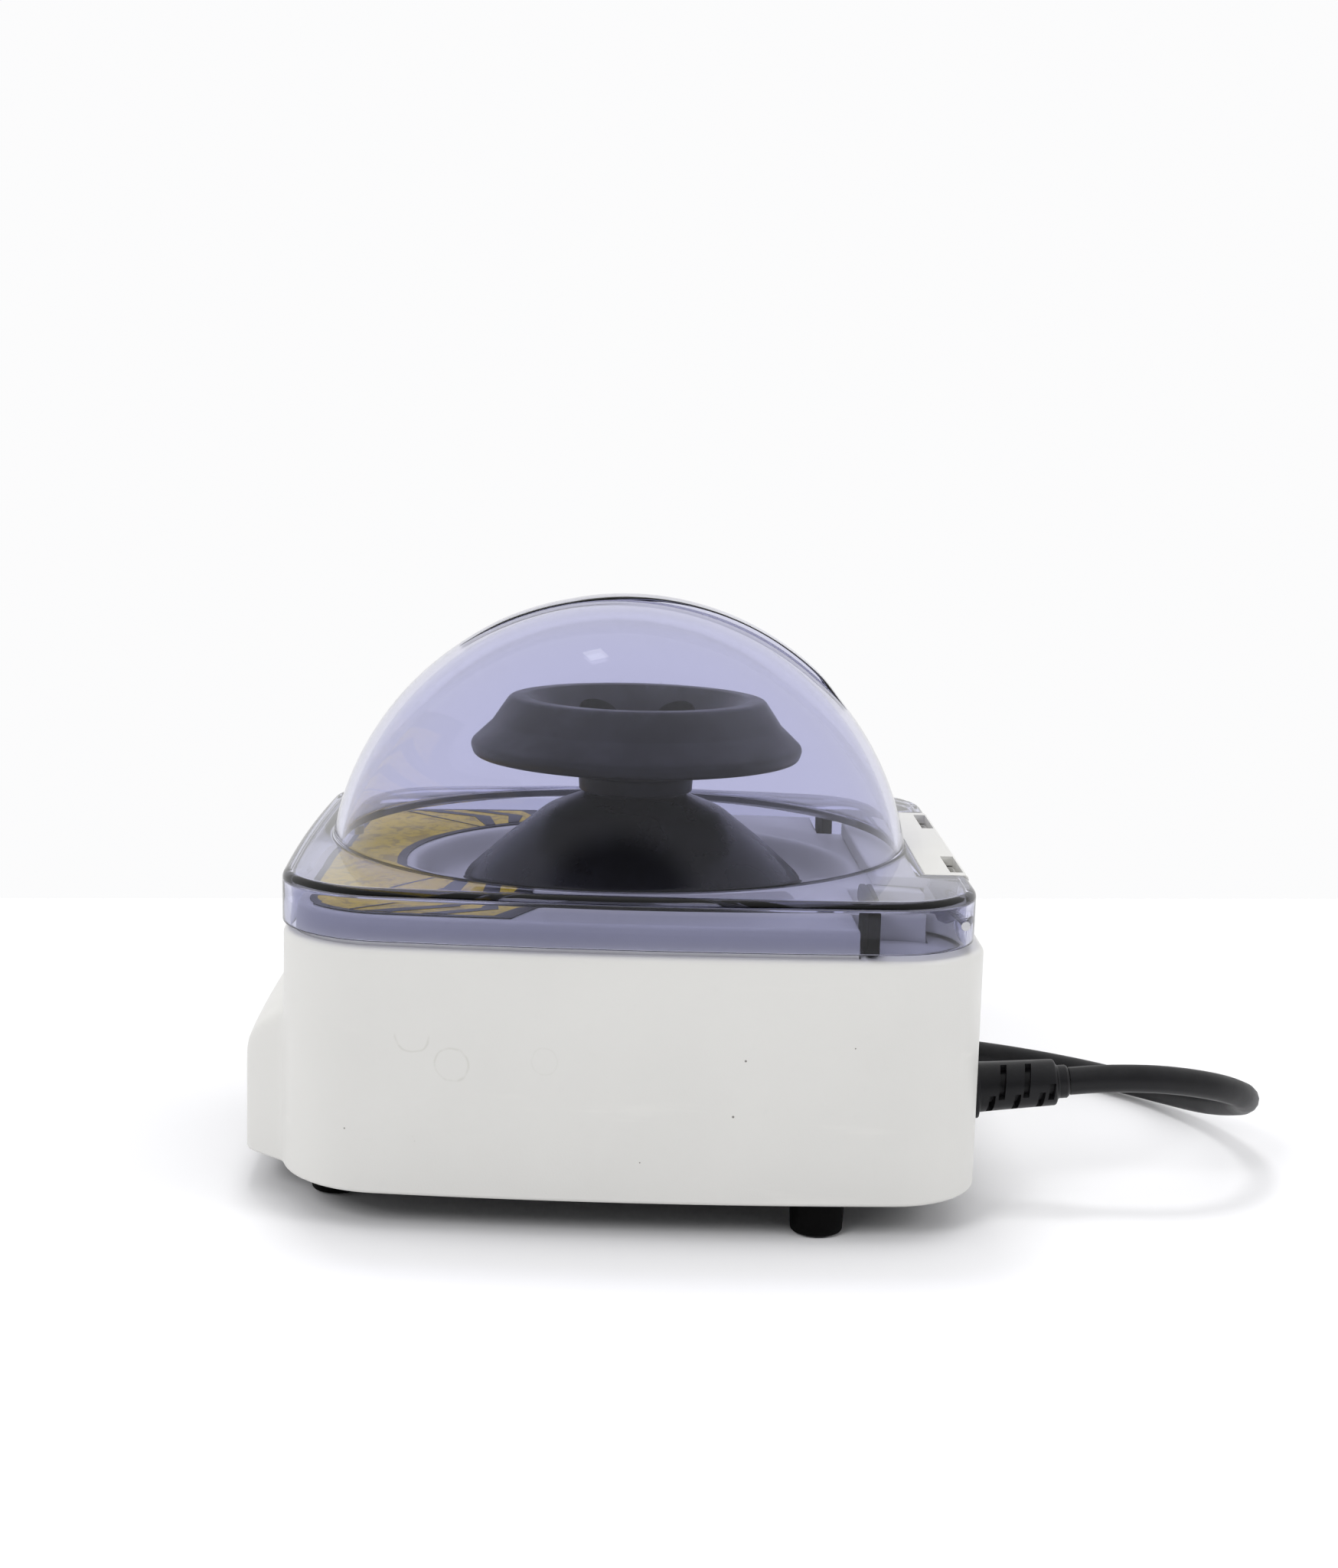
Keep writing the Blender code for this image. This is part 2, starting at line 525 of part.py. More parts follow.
bm = bmesh.new()
for side in (1, -1):
    lo, hi = sorted((side * 41.0, side * 46.5))
    add_cylinder(bm, (HINGE_Y, HINGE_Z), PIN_HOLE_R, PIN_HOLE_R, lo, hi, 12, "X")
arm_holes = as_cutter(from_bmesh("cut_arm_holes", bm, cutters))
for side, word in ((1, "right"), (-1, "left")):
    arm = prism("lid_hinge_arm_" + word, [(73.8, 75.5), (80.5, 75.5), (80.5, 68.0), (78.2, 67.3), (76.0, 68.3), (75.0, 70.8), (73.8, 73.0)], 42.4, 45.0, "X", "tint", side)
    boolean(arm, arm_holes)
    hang(arm, lid_pivot)
hang(box("lid_catch", (8.0, -73.2, 66.2), (20.0, -72.7, 67.6), "tint"), lid_pivot)
hang(rod("lid_magnet", (-20.0, -67.2), 2.5, 2.5, 73.2, 75.4, "steel"), lid_pivot)

# ---------------------------------------------------------------- rotor (spins about the motor axis)
rotor_pivot = bpy.data.objects.new("rotor_pivot", None)
rotor_pivot.location = (0, AXIS_Y * MM, 0)
scene.collection.objects.link(rotor_pivot)
bpy.context.view_layer.update()

rotor = turned("rotor_disc", [(2.4, 99.4), (12.4, 99.4), (24.6, 110.2), (27.2, 112.3), (28.6, 112.7), (30.2, 112.0), (32.4, 109.6), (40.3, 101.2), (40.7, 100.2),
                              (40.4, 99.0), (39.4, 98.3), (14.4, 93.6), (13.8, 93.0), (13.8, 90.0), (13.2, 89.4), (2.4, 89.4)], "black", (0, AXIS_Y), 48)
lean = math.atan2(24.6 - 12.4, 110.2 - 99.4)
bm = bmesh.new()
for i in range(TUBE_COUNT):
    a = 2 * math.pi * (i + 0.5) / TUBE_COUNT
    out = Vector((math.cos(a), math.sin(a), 0))
    along = out * math.cos(lean) + Vector((0, 0, -math.sin(lean)))     # down and outwards, square to the dish
    mouth = out * 19.4 + Vector((0, AXIS_Y, 105.6))
    mid = mouth + along * 4.0
    bmesh.ops.create_cone(bm, cap_ends=True, segments=18, radius1=TUBE_R * MM, radius2=TUBE_R * MM, depth=32 * MM,
                          matrix=Matrix.Translation(mid * MM) @ along.to_track_quat("Z", "Y").to_matrix().to_4x4())
boolean(rotor, as_cutter(from_bmesh("cut_tube_holes", bm, cutters)))
hang(rotor, rotor_pivot)
for obj in (
    turned("rotor_shaft", [(0.0, 104.6), (1.6, 104.6), (2.0, 104.2), (2.0, 66.6), (0.0, 66.6)], "steel", (0, AXIS_Y), 16),
    turned("rotor_washer", [(2.4, 100.5), (7.8, 100.5), (7.8, 99.7), (2.4, 99.7)], "steel", (0, AXIS_Y), 24),
    turned("rotor_nut", [(0.0, 107.2), (4.6, 107.2), (6.2, 106.2), (6.6, 104.6), (6.6, 100.8), (2.4, 100.8), (2.4, 105.0), (0.0, 105.0)], "black", (0, AXIS_Y), 18),
):
    hang(obj, rotor_pivot)

# ---------------------------------------------------------------- cord
tilt_axis = Vector((0, math.cos(RELIEF_TILT), math.sin(RELIEF_TILT)))
RELIEF_START = Vector((RELIEF_X, REAR_Y, RELIEF_Z))
RELIEF_LEN = 24.0
bm = bmesh.new()
profile = [(0.0, -3.6), (5.5, -3.6), (5.5, 1.05), (7.4, 1.05), (7.4, 2.0), (5.9, 2.2), (5.6, 10.0), (5.3, 19.2), (4.2, 19.8), (3.75, 20.2), (3.65, 24.0), (0.0, 24.0)]
rings = []
frame = tilt_axis.to_track_quat("Z", "Y").to_matrix().to_4x4()
place = Matrix.Translation(RELIEF_START * MM) @ frame
rows = []
for r, z in profile:
    if r == 0:
        rows.append([bm.verts.new(place @ Vector((0, 0, z * MM)))])
    else:
        rows.append([bm.verts.new(place @ Vector((r * math.cos(2 * math.pi * i / 20) * MM, r * math.sin(2 * math.pi * i / 20) * MM, z * MM))) for i in range(20)])
for a, b in zip(rows, rows[1:]):
    for i in range(20):
        j = (i + 1) % 20
        if len(a) == 1:
            bm.faces.new((a[0], b[j], b[i]))
        elif len(b) == 1:
            bm.faces.new((a[i], a[j], b[0]))
        else:
            bm.faces.new((a[i], a[j], b[j], b[i]))
bmesh.ops.recalc_face_normals(bm, faces=bm.faces)
finish(from_bmesh("strain_relief", bm), "rubber")


def smooth_path(points, count):
    """Points evenly spread along a smooth curve through the route's own points."""
    dense = []
    for i in range(len(points) - 1):
        p0, p1, p2, p3 = points[max(i - 1, 0)], points[i], points[i + 1], points[min(i + 2, len(points) - 1)]
        for k in range(24):
            t = k / 24
            dense.append(0.5 * ((2 * p1) + (p2 - p0) * t + (2 * p0 - 5 * p1 + 4 * p2 - p3) * t * t + (3 * p1 - p0 - 3 * p2 + p3) * t ** 3))
    dense.append(points[-1])
    for _ in range(40):
        dense = [dense[0], dense[1]] + [(dense[i - 1] + 2 * dense[i] + dense[i + 1]) / 4 for i in range(2, len(dense) - 2)] + [dense[-2], dense[-1]]
    length = [0.0]
    for a, b in zip(dense, dense[1:]):
        length.append(length[-1] + (b - a).length)
    result, k = [], 0
    for i in range(count):
        want = length[-1] * i / (count - 1)
        while k < len(dense) - 2 and length[k + 1] < want:
            k += 1
        t = (want - length[k]) / max(length[k + 1] - length[k], 1e-9)
        result.append(dense[k].lerp(dense[k + 1], t))
    return result


def tube(name, path, radius, colour):
    curve = bpy.data.curves.new(name, "CURVE")
    curve.dimensions = "3D"
    curve.bevel_depth = radius * MM
    curve.bevel_resolution = 2
    curve.use_fill_caps = True
    spline = curve.splines.new("POLY")
    spline.points.add(len(path) - 1)
    for point, p in zip(spline.points, path):
        point.co = (p.x * MM, p.y * MM, p.z * MM, 1.0)
    obj = bpy.data.objects.new(name, curve)
    parts.objects.link(obj)
    return finish(obj, colour)


cord_start = RELIEF_START + tilt_axis * (RELIEF_LEN + GAP)
coil_x = COIL_C[0] + COIL_MEAN_R + 3 * CORD_R + CORD_R + 0.5     # just clear of the coil's outer side
ROUTE = [cord_start, cord_start + tilt_axis * 9.0, Vector((37.6, 132.0, 29.0)), Vector((31.0, 147.0, 25.5)), Vector((17.0, 157.5, 19.0)), Vector((-2.0, 160.5, 12.0)),
         Vector((-22.0, 156.5, 6.4)), Vector((-42.0, 146.5, 3.9)), Vector((-58.0, 132.0, 3.4)), Vector((-70.0, 114.5, 3.4)), Vector((-78.5, 96.0, 3.4)), Vector((-84.0, 77.0, 3.4)),
         Vector((-86.6, 58.0, 3.4)), Vector((coil_x, COIL_C[1] + 4.0, 3.4))]
cord_path = smooth_path(ROUTE, 34)
tube("power_cord", cord_path, CORD_R, "rubber")

# the wound-up length: a round coil lying on the table
inner, outer = COIL_MEAN_R - 3 * CORD_R - 0.3, COIL_MEAN_R + 3 * CORD_R + 0.3
turned("cord_coil", [(inner + 1.6, 20.4), (outer - 1.6, 20.4), (outer, 18.8), (outer, 1.6), (outer - 1.6, 0.0), (inner + 1.6, 0.0), (inner, 1.6), (inner, 18.8)],
       "rubber", COIL_C, 32)

# plug lying across the coil, and the short tail that leads to it
PLUG_Z = 31.2
PLUG_X = COIL_C[0] - 16.0
TAIL_R = 27.0
tail_route = []
for i in range(8):
    a = math.radians(250.0 - 10.0 * i)
    rise = min(1.0, i / 7.0)
    tail_route.append(Vector((PLUG_X + TAIL_R + TAIL_R * math.cos(a), COIL_C[1] - 16.0 + TAIL_R * math.sin(a),
                              24.2 + (PLUG_Z - 24.2) * (3 * rise ** 2 - 2 * rise ** 3))))
tail_route.append(Vector((PLUG_X, COIL_C[1] - 13.0, PLUG_Z)))
tail = smooth_path(tail_route, 10)
tube("cord_tail", tail, CORD_R, "rubber")
bm = bmesh.new()
y0 = COIL_C[1] - 13.0 + 0.5
sections = [(0.0, 4.6, 4.6), (13.0, 5.6, 5.4), (15.0, 9.5, 8.2), (19.0, 12.4, 10.0), (36.0, 12.6, 10.2), (39.0, 12.0, 9.8)]
rows = []
for dy, hx, hz in sections:
    row = []
    for i in range(20):
        a = 2 * math.pi * i / 20
        k = 0.5 if dy > 13.5 else 1.0
        cx, sz = math.copysign(abs(math.cos(a)) ** k, math.cos(a)), math.copysign(abs(math.sin(a)) ** k, math.sin(a))
        row.append(bm.verts.new(((PLUG_X + hx * cx) * MM, (y0 + dy) * MM, (PLUG_Z + hz * sz) * MM)))
    rows.append(row)
for a, b in zip(rows, rows[1:]):
    for i in range(20):
        bm.faces.new((a[i], a[(i + 1) % 20], b[(i + 1) % 20], b[i]))
bm.faces.new(rows[0])
bm.faces.new(rows[-1])
bmesh.ops.recalc_face_normals(bm, faces=bm.faces)
finish(from_bmesh("plug_body", bm), "black")
yb = y0 + 39.0 + GAP


for side, word in ((-1, "right"), (1, "left")):
    x = PLUG_X + 6.35 * side
    box("plug_blade_" + word, (x - 0.75, yb, PLUG_Z - 5.6), (x + 0.75, yb + 16.0, PLUG_Z + 0.8), "steel")
rod("plug_ground_pin", (PLUG_X, PLUG_Z + 5.6), 2.35, 2.35, yb, yb + 19.0, "steel", 12, "Y")
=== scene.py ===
"""Mini centrifuge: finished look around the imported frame. Lengths in the tables are millimetres, scaled by MM."""
import math
import random

import bmesh
import bpy
from mathutils import Matrix, Vector


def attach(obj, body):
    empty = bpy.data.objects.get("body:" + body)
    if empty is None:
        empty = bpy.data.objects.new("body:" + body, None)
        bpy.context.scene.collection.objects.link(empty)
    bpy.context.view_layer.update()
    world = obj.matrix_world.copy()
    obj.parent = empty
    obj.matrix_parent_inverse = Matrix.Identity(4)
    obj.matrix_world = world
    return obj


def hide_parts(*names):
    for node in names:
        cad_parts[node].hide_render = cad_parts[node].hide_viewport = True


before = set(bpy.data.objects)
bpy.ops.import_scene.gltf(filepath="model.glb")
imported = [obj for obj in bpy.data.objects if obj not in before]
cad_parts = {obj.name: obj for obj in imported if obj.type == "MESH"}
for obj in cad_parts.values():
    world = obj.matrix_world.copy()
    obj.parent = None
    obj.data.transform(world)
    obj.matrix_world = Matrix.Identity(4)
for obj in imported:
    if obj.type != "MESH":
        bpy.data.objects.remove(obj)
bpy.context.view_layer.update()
MM = 0.001
scene = bpy.context.scene
random.seed(7)

# ---------------------------------------------------------------- the same driving sizes as the frame
HALF_WIDTH, WIDEST_Y, SIDE_BOW = 75.0, 20.0, 2.4
FRONT_Y, REAR_Y, FRONT_BOW = -75.4, 85.3, 1.0
FRONT_CORNER, REAR_CORNER = 22.0, 20.0
BULGE, BULGE_HALF = 9.9, 50.2
HOUSING_BOTTOM, HOUSING_TOP, WALL = 8.3, 64.6, 2.4
DECK_TOP, DECK_INSET = 71.3, 3.3
NOTCH_X, NOTCH_Y, DECK_REAR_Y = 45.6, 55.3, 73.0
AXIS_Y, BOWL_R, BOWL_FLOOR = 5.4, 54.6, 64.0
LID_TOP, LID_BOTTOM, LID_WALL, LID_REAR_Y, LID_PROUD = 78.0, 66.0, 2.2, 83.0, 0.3
DOME_Y, DOME_Z, DOME_R = 1.8, 65.5, 71.5
RIB_WIDTH = 12.0
HINGE_Y, HINGE_Z, PIN_HOLE_R = 79.4, 71.2, 1.14
COVER_R, COVER_HALF, CUTOUT_HALF = 9.45, 41.5, 42.0
RELIEF_X, RELIEF_Z, RELIEF_TILT, RELIEF_LEN = 38.5, 26.3, math.radians(5.0), 24.0
CORD_R = 3.3
COIL_C, COIL_MEAN_R = (-137.0, 34.0), 36.0
PLUG_X, PLUG_Z = COIL_C[0] - 16.0, 31.2
GAP = 0.3

# ---------------------------------------------------------------- camera
cam_data = bpy.data.cameras.new("photo_camera")
cam_data.sensor_fit = "VERTICAL"
cam_data.sensor_height = 36.0
cam_data.sensor_width = 36.0
cam_data.lens = 56.25
cam_data.clip_start, cam_data.clip_end = 0.01, 50.0
camera = bpy.data.objects.new("photo_camera", cam_data)
scene.collection.objects.link(camera)
psi, theta, roll = 0.0194, 0.1635, 0.0273
look = Vector((-math.cos(psi) * math.cos(theta), math.sin(psi) * math.cos(theta), -math.sin(theta)))
right = Vector((math.sin(psi), math.cos(psi), 0.0))
up = right.cross(look)
right2 = right * math.cos(roll) + up * math.sin(roll)
up2 = up * math.cos(roll) - right * math.sin(roll)
turn = Matrix((right2, up2, -look)).transposed().to_4x4()
camera.matrix_world = Matrix.Translation((0.5975, 0.00206, 0.18954)) @ turn
scene.camera = camera


# ---------------------------------------------------------------- helpers: meshes
def link(name, mesh):
    obj = bpy.data.objects.new(name, mesh)
    scene.collection.objects.link(obj)
    return obj


def object_from(name, bm, smooth=35.0):
    mesh = bpy.data.meshes.new(name)
    bm.to_mesh(mesh)
    bm.free()
    obj = link(name, mesh)
    if smooth:
        mesh.shade_smooth()
        mesh.set_sharp_from_angle(angle=math.radians(smooth))
    return obj


def baked(obj, smooth=35.0):
    """The modifiers' result becomes the mesh."""
    mesh = bpy.data.meshes.new_from_object(obj.evaluated_get(bpy.context.evaluated_depsgraph_get()))
    obj.modifiers.clear()
    obj.data = mesh
    mesh.shade_smooth()
    mesh.set_sharp_from_angle(angle=math.radians(smooth))
    return obj


def cut(obj, cutters, operation="DIFFERENCE", smooth=35.0):
    """Boolean with each cutter object, which is then removed."""
    for cutter in cutters:
        mod = obj.modifiers.new("cut", "BOOLEAN")
        mod.operation, mod.solver, mod.object = operation, "EXACT", cutter
    bpy.context.view_layer.update()
    baked(obj, smooth)
    for cutter in cutters:
        bpy.data.objects.remove(cutter, do_unlink=True)
    return obj


def lofted(name, rows, pole_a=None, pole_b=None, closed=False, smooth=35.0, ring=True):
    """Skin through rows of points; poles close the ends, closed joins the last row to the first."""
    bm = bmesh.new()
    made = [[bm.verts.new([c * MM for c in p]) for p in row] for row in rows]
    n = len(made[0])
    pairs = list(zip(made, made[1:]))
    if closed:
        pairs.append((made[-1], made[0]))
    for a, b in pairs:
        for i in range(n if ring else n - 1):
            j = (i + 1) % n
            bm.faces.new((a[i], b[i], b[j], a[j]))
    for pole, row in ((pole_a, made[0]), (pole_b, made[-1])):
        if pole is not None:
            tip = bm.verts.new([c * MM for c in pole])
            for i in range(n):
                bm.faces.new((tip, row[i], row[(i + 1) % n]))
    bmesh.ops.recalc_face_normals(bm, faces=bm.faces)
    if (closed or pole_a is not None) and bm.calc_volume(signed=True) < 0:
        bmesh.ops.reverse_faces(bm, faces=bm.faces)
    return object_from(name, bm, smooth)


def box_cutter(lo, hi, bevel=0.0, segments=3, keep=""):
    bm = bmesh.new()
    size = [(h - l) * MM for l, h in zip(lo, hi)]
    mid = [(h + l) * 0.5 * MM for l, h in zip(lo, hi)]
    bmesh.ops.create_cube(bm, size=1.0, matrix=Matrix.Translation(mid) @ Matrix.Diagonal((*size, 1.0)))
    if bevel:
        bmesh.ops.bevel(bm, geom=list(bm.edges), offset=bevel * MM, segments=segments, profile=0.5, affect="EDGES", clamp_overlap=True)
    return object_from(keep or "cutter", bm, 35.0 if keep else 0)


def cylinder_cutter(centre, radius, lo, hi, axis="Z", segments=64):
    spin = {"Z": Matrix.Identity(4), "X": Matrix.Rotation(math.pi / 2, 4, "Y"), "Y": Matrix.Rotation(-math.pi / 2, 4, "X")}[axis]
    mid = (lo + hi) / 2
    place = {"Z": (centre[0], centre[1], mid), "X": (mid, centre[0], centre[1]), "Y": (centre[0], mid, centre[1])}[axis]
    bm = bmesh.new()
    bmesh.ops.create_cone(bm, cap_ends=True, segments=segments, radius1=radius * MM, radius2=radius * MM, depth=(hi - lo) * MM,
                          matrix=Matrix.Translation([c * MM for c in place]) @ spin)
    return object_from("cutter", bm, 0)


def rounded_profile(points, radii, steps=6):
    """An open or closed line of (r, z) corners with its corners rounded."""
    result = []
    n = len(points)
    for i, (p, rad) in enumerate(zip(points, radii)):
        if rad <= 0 or i in (0, n - 1):
            result.append(p)
            continue
        p = Vector(p)
        a, b = Vector(points[i - 1]) - p, Vector(points[i + 1]) - p
        half = a.angle(b) / 2
        reach = min(rad / math.tan(half), 0.48 * a.length, 0.48 * b.length)
        start, end = p + a.normalized() * reach, p + b.normalized() * reach
        for k in range(steps + 1):
            t = k / steps
            q = start * (1 - t) ** 2 + p * 2 * t * (1 - t) + end * t * t
            result.append((q.x, q.y))
    return result


def turned(name, profile, centre=(0.0, 0.0), steps=128, smooth=35.0, place=None, wave=None):
    """A turned body from (radius, height) points; zero radius at an end makes a pole, otherwise it closes on itself."""
    pole_a = pole_b = None
    body = list(profile)
    if body[0][0] < 1e-6:
        pole_a = (centre[0], centre[1], body[0][1])
        body = body[1:]
    if body[-1][0] < 1e-6:
        pole_b = (centre[0], centre[1], body[-1][1])
        body = body[:-1]
    rows = []
    for r, z in body:
        row = []
        for i in range(steps):
            a = 2 * math.pi * i / steps
            q = r * (wave(a, r, z) if wave else 1.0)
            row.append((centre[0] + q * math.cos(a), centre[1] + q * math.sin(a), z))
        rows.append(row)
    obj = lofted(name, rows, pole_a, pole_b, closed=pole_a is None and pole_b is None, smooth=smooth)
    if place is not None:
        obj.data.transform(place)
    return obj


# ---------------------------------------------------------------- helpers: outlines, as in the frame
def rounded_box(x, y, rear):
    half = HALF_WIDTH - SIDE_BOW * ((y - WIDEST_Y) / 60.0) ** 2
    sx = abs(x) * HALF_WIDTH / half
    sy = y - (FRONT_BOW * (x / 50.0) ** 2 * (-y / 75.0) if y < 0 else 0.0)
    mid, reach = (rear + FRONT_Y) / 2, (rear - FRONT_Y) / 2
    r = FRONT_CORNER if y < mid else REAR_CORNER
    qx, qy = sx - HALF_WIDTH + r, abs(sy - mid) - reach + r
    return min(max(qx, qy), 0.0) + math.hypot(max(qx, 0.0), max(qy, 0.0)) - r


def smooth_max(a, b, k):
    return 0.5 * (a + b + math.sqrt((a - b) ** 2 + k * k))


def body_distance(x, y, bulge, rear=REAR_Y):
    d = rounded_box(x, y, rear)
    if bulge > 0.01:
        front = -y + FRONT_Y - bulge + 0.6 * (x / 40.0) ** 2
        slant = 0.753 * (abs(x) - BULGE_HALF) - 0.658 * (y + 75.0)
        shape = smooth_max(front, slant, 1.6)
        d = -smooth_max(-d, -max(shape, y + 68.0), 0.6)
    return d


def radius_at(angle, centre_y, inset, bulge=0.0, rear=REAR_Y):
    lo, hi = 30.0, 130.0
    for _ in range(34):
        mid = (lo + hi) / 2
        if body_distance(mid * math.cos(angle), centre_y + mid * math.sin(angle), bulge, rear) + inset < 0:
            lo = mid
        else:
            hi = mid
    return lo


def deck_radius(angle, grow=0.0):
    r = radius_at(angle, AXIS_Y, DECK_INSET)
    c, s = abs(math.cos(angle)), math.sin(angle)
    if s > 1e-6:
        r = min(r, (DECK_REAR_Y - AXIS_Y) / s)
        to_y, to_x = (NOTCH_Y - AXIS_Y) / s, (NOTCH_X / c if c > 1e-6 else 1e9)
        r = min(r, max(to_y, to_x))
    return r + grow


def ring_of(radius, z, centre_y, angles):
    get = radius if callable(radius) else (lambda a: radius)
    return [(get(a) * math.cos(a), centre_y + get(a) * math.sin(a), z) for a in angles]


def with_keys(count, points):
    keys = [math.atan2(y - AXIS_Y, x) for x, y in points]
    even = [-math.pi + 2 * math.pi * i / count for i in range(count)]
    even = [a for a in even if all(abs(math.remainder(a - k, 2 * math.pi)) > math.radians(0.35) for k in keys)]
    return sorted(even + keys)


# ---------------------------------------------------------------- helpers: materials
class Nodes:
    def __init__(self, name):
        self.mat = bpy.data.materials.new(name)
        self.mat.use_nodes = True
        self.tree = self.mat.node_tree
        self.shader = self.tree.nodes["Principled BSDF"]
        self.out = self.tree.nodes["Material Output"]
        self.coord = self.tree.nodes.new("ShaderNodeTexCoord").outputs["Object"]

    def put(self, socket, value):
        if isinstance(value, bpy.types.NodeSocket):
            self.tree.links.new(value, socket)
        else:
            socket.default_value = value

    def set(self, **values):
        names = {"color": "Base Color", "rough": "Roughness", "metal": "Metallic", "ior": "IOR", "coat": "Coat Weight", "coat_rough": "Coat Roughness",
                 "clear": "Transmission Weight", "specular": "Specular IOR Level", "sheen": "Sheen Weight", "normal": "Normal"}
        for key, value in values.items():
            if key == "color" and not isinstance(value, bpy.types.NodeSocket):
                value = (*value[:3], 1.0)
            self.put(self.shader.inputs[names[key]], value)
        return self

    def math(self, operation, a, b=0.0, c=None, clamp=False):
        node = self.tree.nodes.new("ShaderNodeMath")
        node.operation, node.use_clamp = operation, clamp
        self.put(node.inputs[0], a)
        self.put(node.inputs[1], b)
        if c is not None:
            self.put(node.inputs[2], c)
        return node.outputs[0]

    def split(self, vector=None):
        node = self.tree.nodes.new("ShaderNodeSeparateXYZ")
        self.put(node.inputs[0], vector or self.coord)
        return node.outputs

    def stretch(self, x, y, z):
        node = self.tree.nodes.new("ShaderNodeMapping")
        self.put(node.inputs["Vector"], self.coord)
        node.inputs["Scale"].default_value = (x, y, z)
        return node.outputs[0]

    def noise(self, scale, detail=4.0, rough=0.55, vector=None, distortion=0.0):
        node = self.tree.nodes.new("ShaderNodeTexNoise")
        self.put(node.inputs["Vector"], vector or self.coord)
        node.inputs["Scale"].default_value = scale
        node.inputs["Detail"].default_value = detail
        node.inputs["Roughness"].default_value = rough
        node.inputs["Distortion"].default_value = distortion
        return node.outputs["Fac"]

    def cells(self, scale, vector=None, feature="F1"):
        node = self.tree.nodes.new("ShaderNodeTexVoronoi")
        node.feature = feature
        self.put(node.inputs["Vector"], vector or self.coord)
        node.inputs["Scale"].default_value = scale
        return node.outputs["Distance"]

    def between(self, value, lo, hi, to_lo=0.0, to_hi=1.0, smooth=True):
        node = self.tree.nodes.new("ShaderNodeMapRange")
        node.interpolation_type = "SMOOTHSTEP" if smooth else "LINEAR"
        node.clamp = True if not smooth else node.clamp
        for i, v in enumerate((value, lo, hi, to_lo, to_hi)):
            self.put(node.inputs[i], v)
        return node.outputs[0]

    def mix(self, factor, a, b):
        node = self.tree.nodes.new("ShaderNodeMix")
        node.data_type = "RGBA"
        self.put(node.inputs["Factor"], factor)
        for socket, value in ((node.inputs[6], a), (node.inputs[7], b)):
            self.put(socket, value if isinstance(value, bpy.types.NodeSocket) else (*value[:3], 1.0))
        return node.outputs[2]

    def bump(self, height, distance, strength=1.0, normal=None):
        node = self.tree.nodes.new("ShaderNodeBump")
        node.inputs["Strength"].default_value = strength
        node.inputs["Distance"].default_value = distance * MM
        self.put(node.inputs["Height"], height)
        if normal is not None:
            self.put(node.inputs["Normal"], normal)
        return node.outputs[0]

    def up(self):
        """How much the surface faces upwards."""
        node = self.tree.nodes.new("ShaderNodeNewGeometry")
        return self.split(node.outputs["Normal"])[2]


def plastic(name, color, rough, dirt=0.05, grain=0.02, marks=None, specular=0.5):
    n = Nodes(name)
    patches = n.noise(14.0, 3.0)
    fine = n.noise(220.0, 4.0, 0.6)
    shade = tuple(c * (1 - dirt) for c in color)
    tint = n.mix(n.between(patches, 0.35, 0.68), color, shade)
    tint = n.mix(n.between(fine, 0.62, 0.80, 0.0, 0.35), tint, tuple(c * (1 - 1.8 * dirt) for c in color))
    n.coat_mask = fine
    if marks:
        tint = marks(n, tint)
    n.set(color=tint, rough=n.between(n.noise(45.0, 5.0), 0.3, 0.7, rough - 0.05, rough + 0.07), specular=specular)
    grainy = n.noise(2600.0, 2.0, 0.5)
    n.set(normal=n.bump(grainy, grain, 0.6))
    return n.mat


def ring_mark(n, y, z, radius, width, lo=0.0):
    """A thin worn curl on the right-hand wall."""
    sx, sy, sz = n.split()
    dy, dz = n.math("SUBTRACT", sy, y * MM), n.math("SUBTRACT", sz, z * MM)
    wobble = n.math("MULTIPLY_ADD", n.noise(160.0, 2.0), 1.6 * MM, -0.8 * MM)
    away = n.math("SQRT", n.math("ADD", n.math("MULTIPLY", dy, dy), n.math("MULTIPLY", dz, dz)))
    away = n.math("ABSOLUTE", n.math("ADD", n.math("SUBTRACT", away, radius * MM), wobble))
    line = n.between(away, 0.0, width * MM, 1.0, 0.0)
    if lo:
        line = n.math("MULTIPLY", line, n.between(dz, -0.2 * radius * MM, lo * radius * MM, 1.0, 0.0))
    line = n.math("MULTIPLY", line, n.between(sx, 0.066, 0.070))
    return n.math("MULTIPLY", line, n.between(n.noise(420.0, 3.0), 0.35, 0.6, 0.25, 1.0))


def spot_mark(n, y, z, radius):
    sx, sy, sz = n.split()
    dy, dz = n.math("SUBTRACT", sy, y * MM), n.math("SUBTRACT", sz, z * MM)
    away = n.math("SQRT", n.math("ADD", n.math("MULTIPLY", dy, dy), n.math("MULTIPLY", dz, dz)))
    return n.math("MULTIPLY", n.between(away, radius * 0.5 * MM, radius * MM, 1.0, 0.0), n.between(sx, 0.066, 0.070))


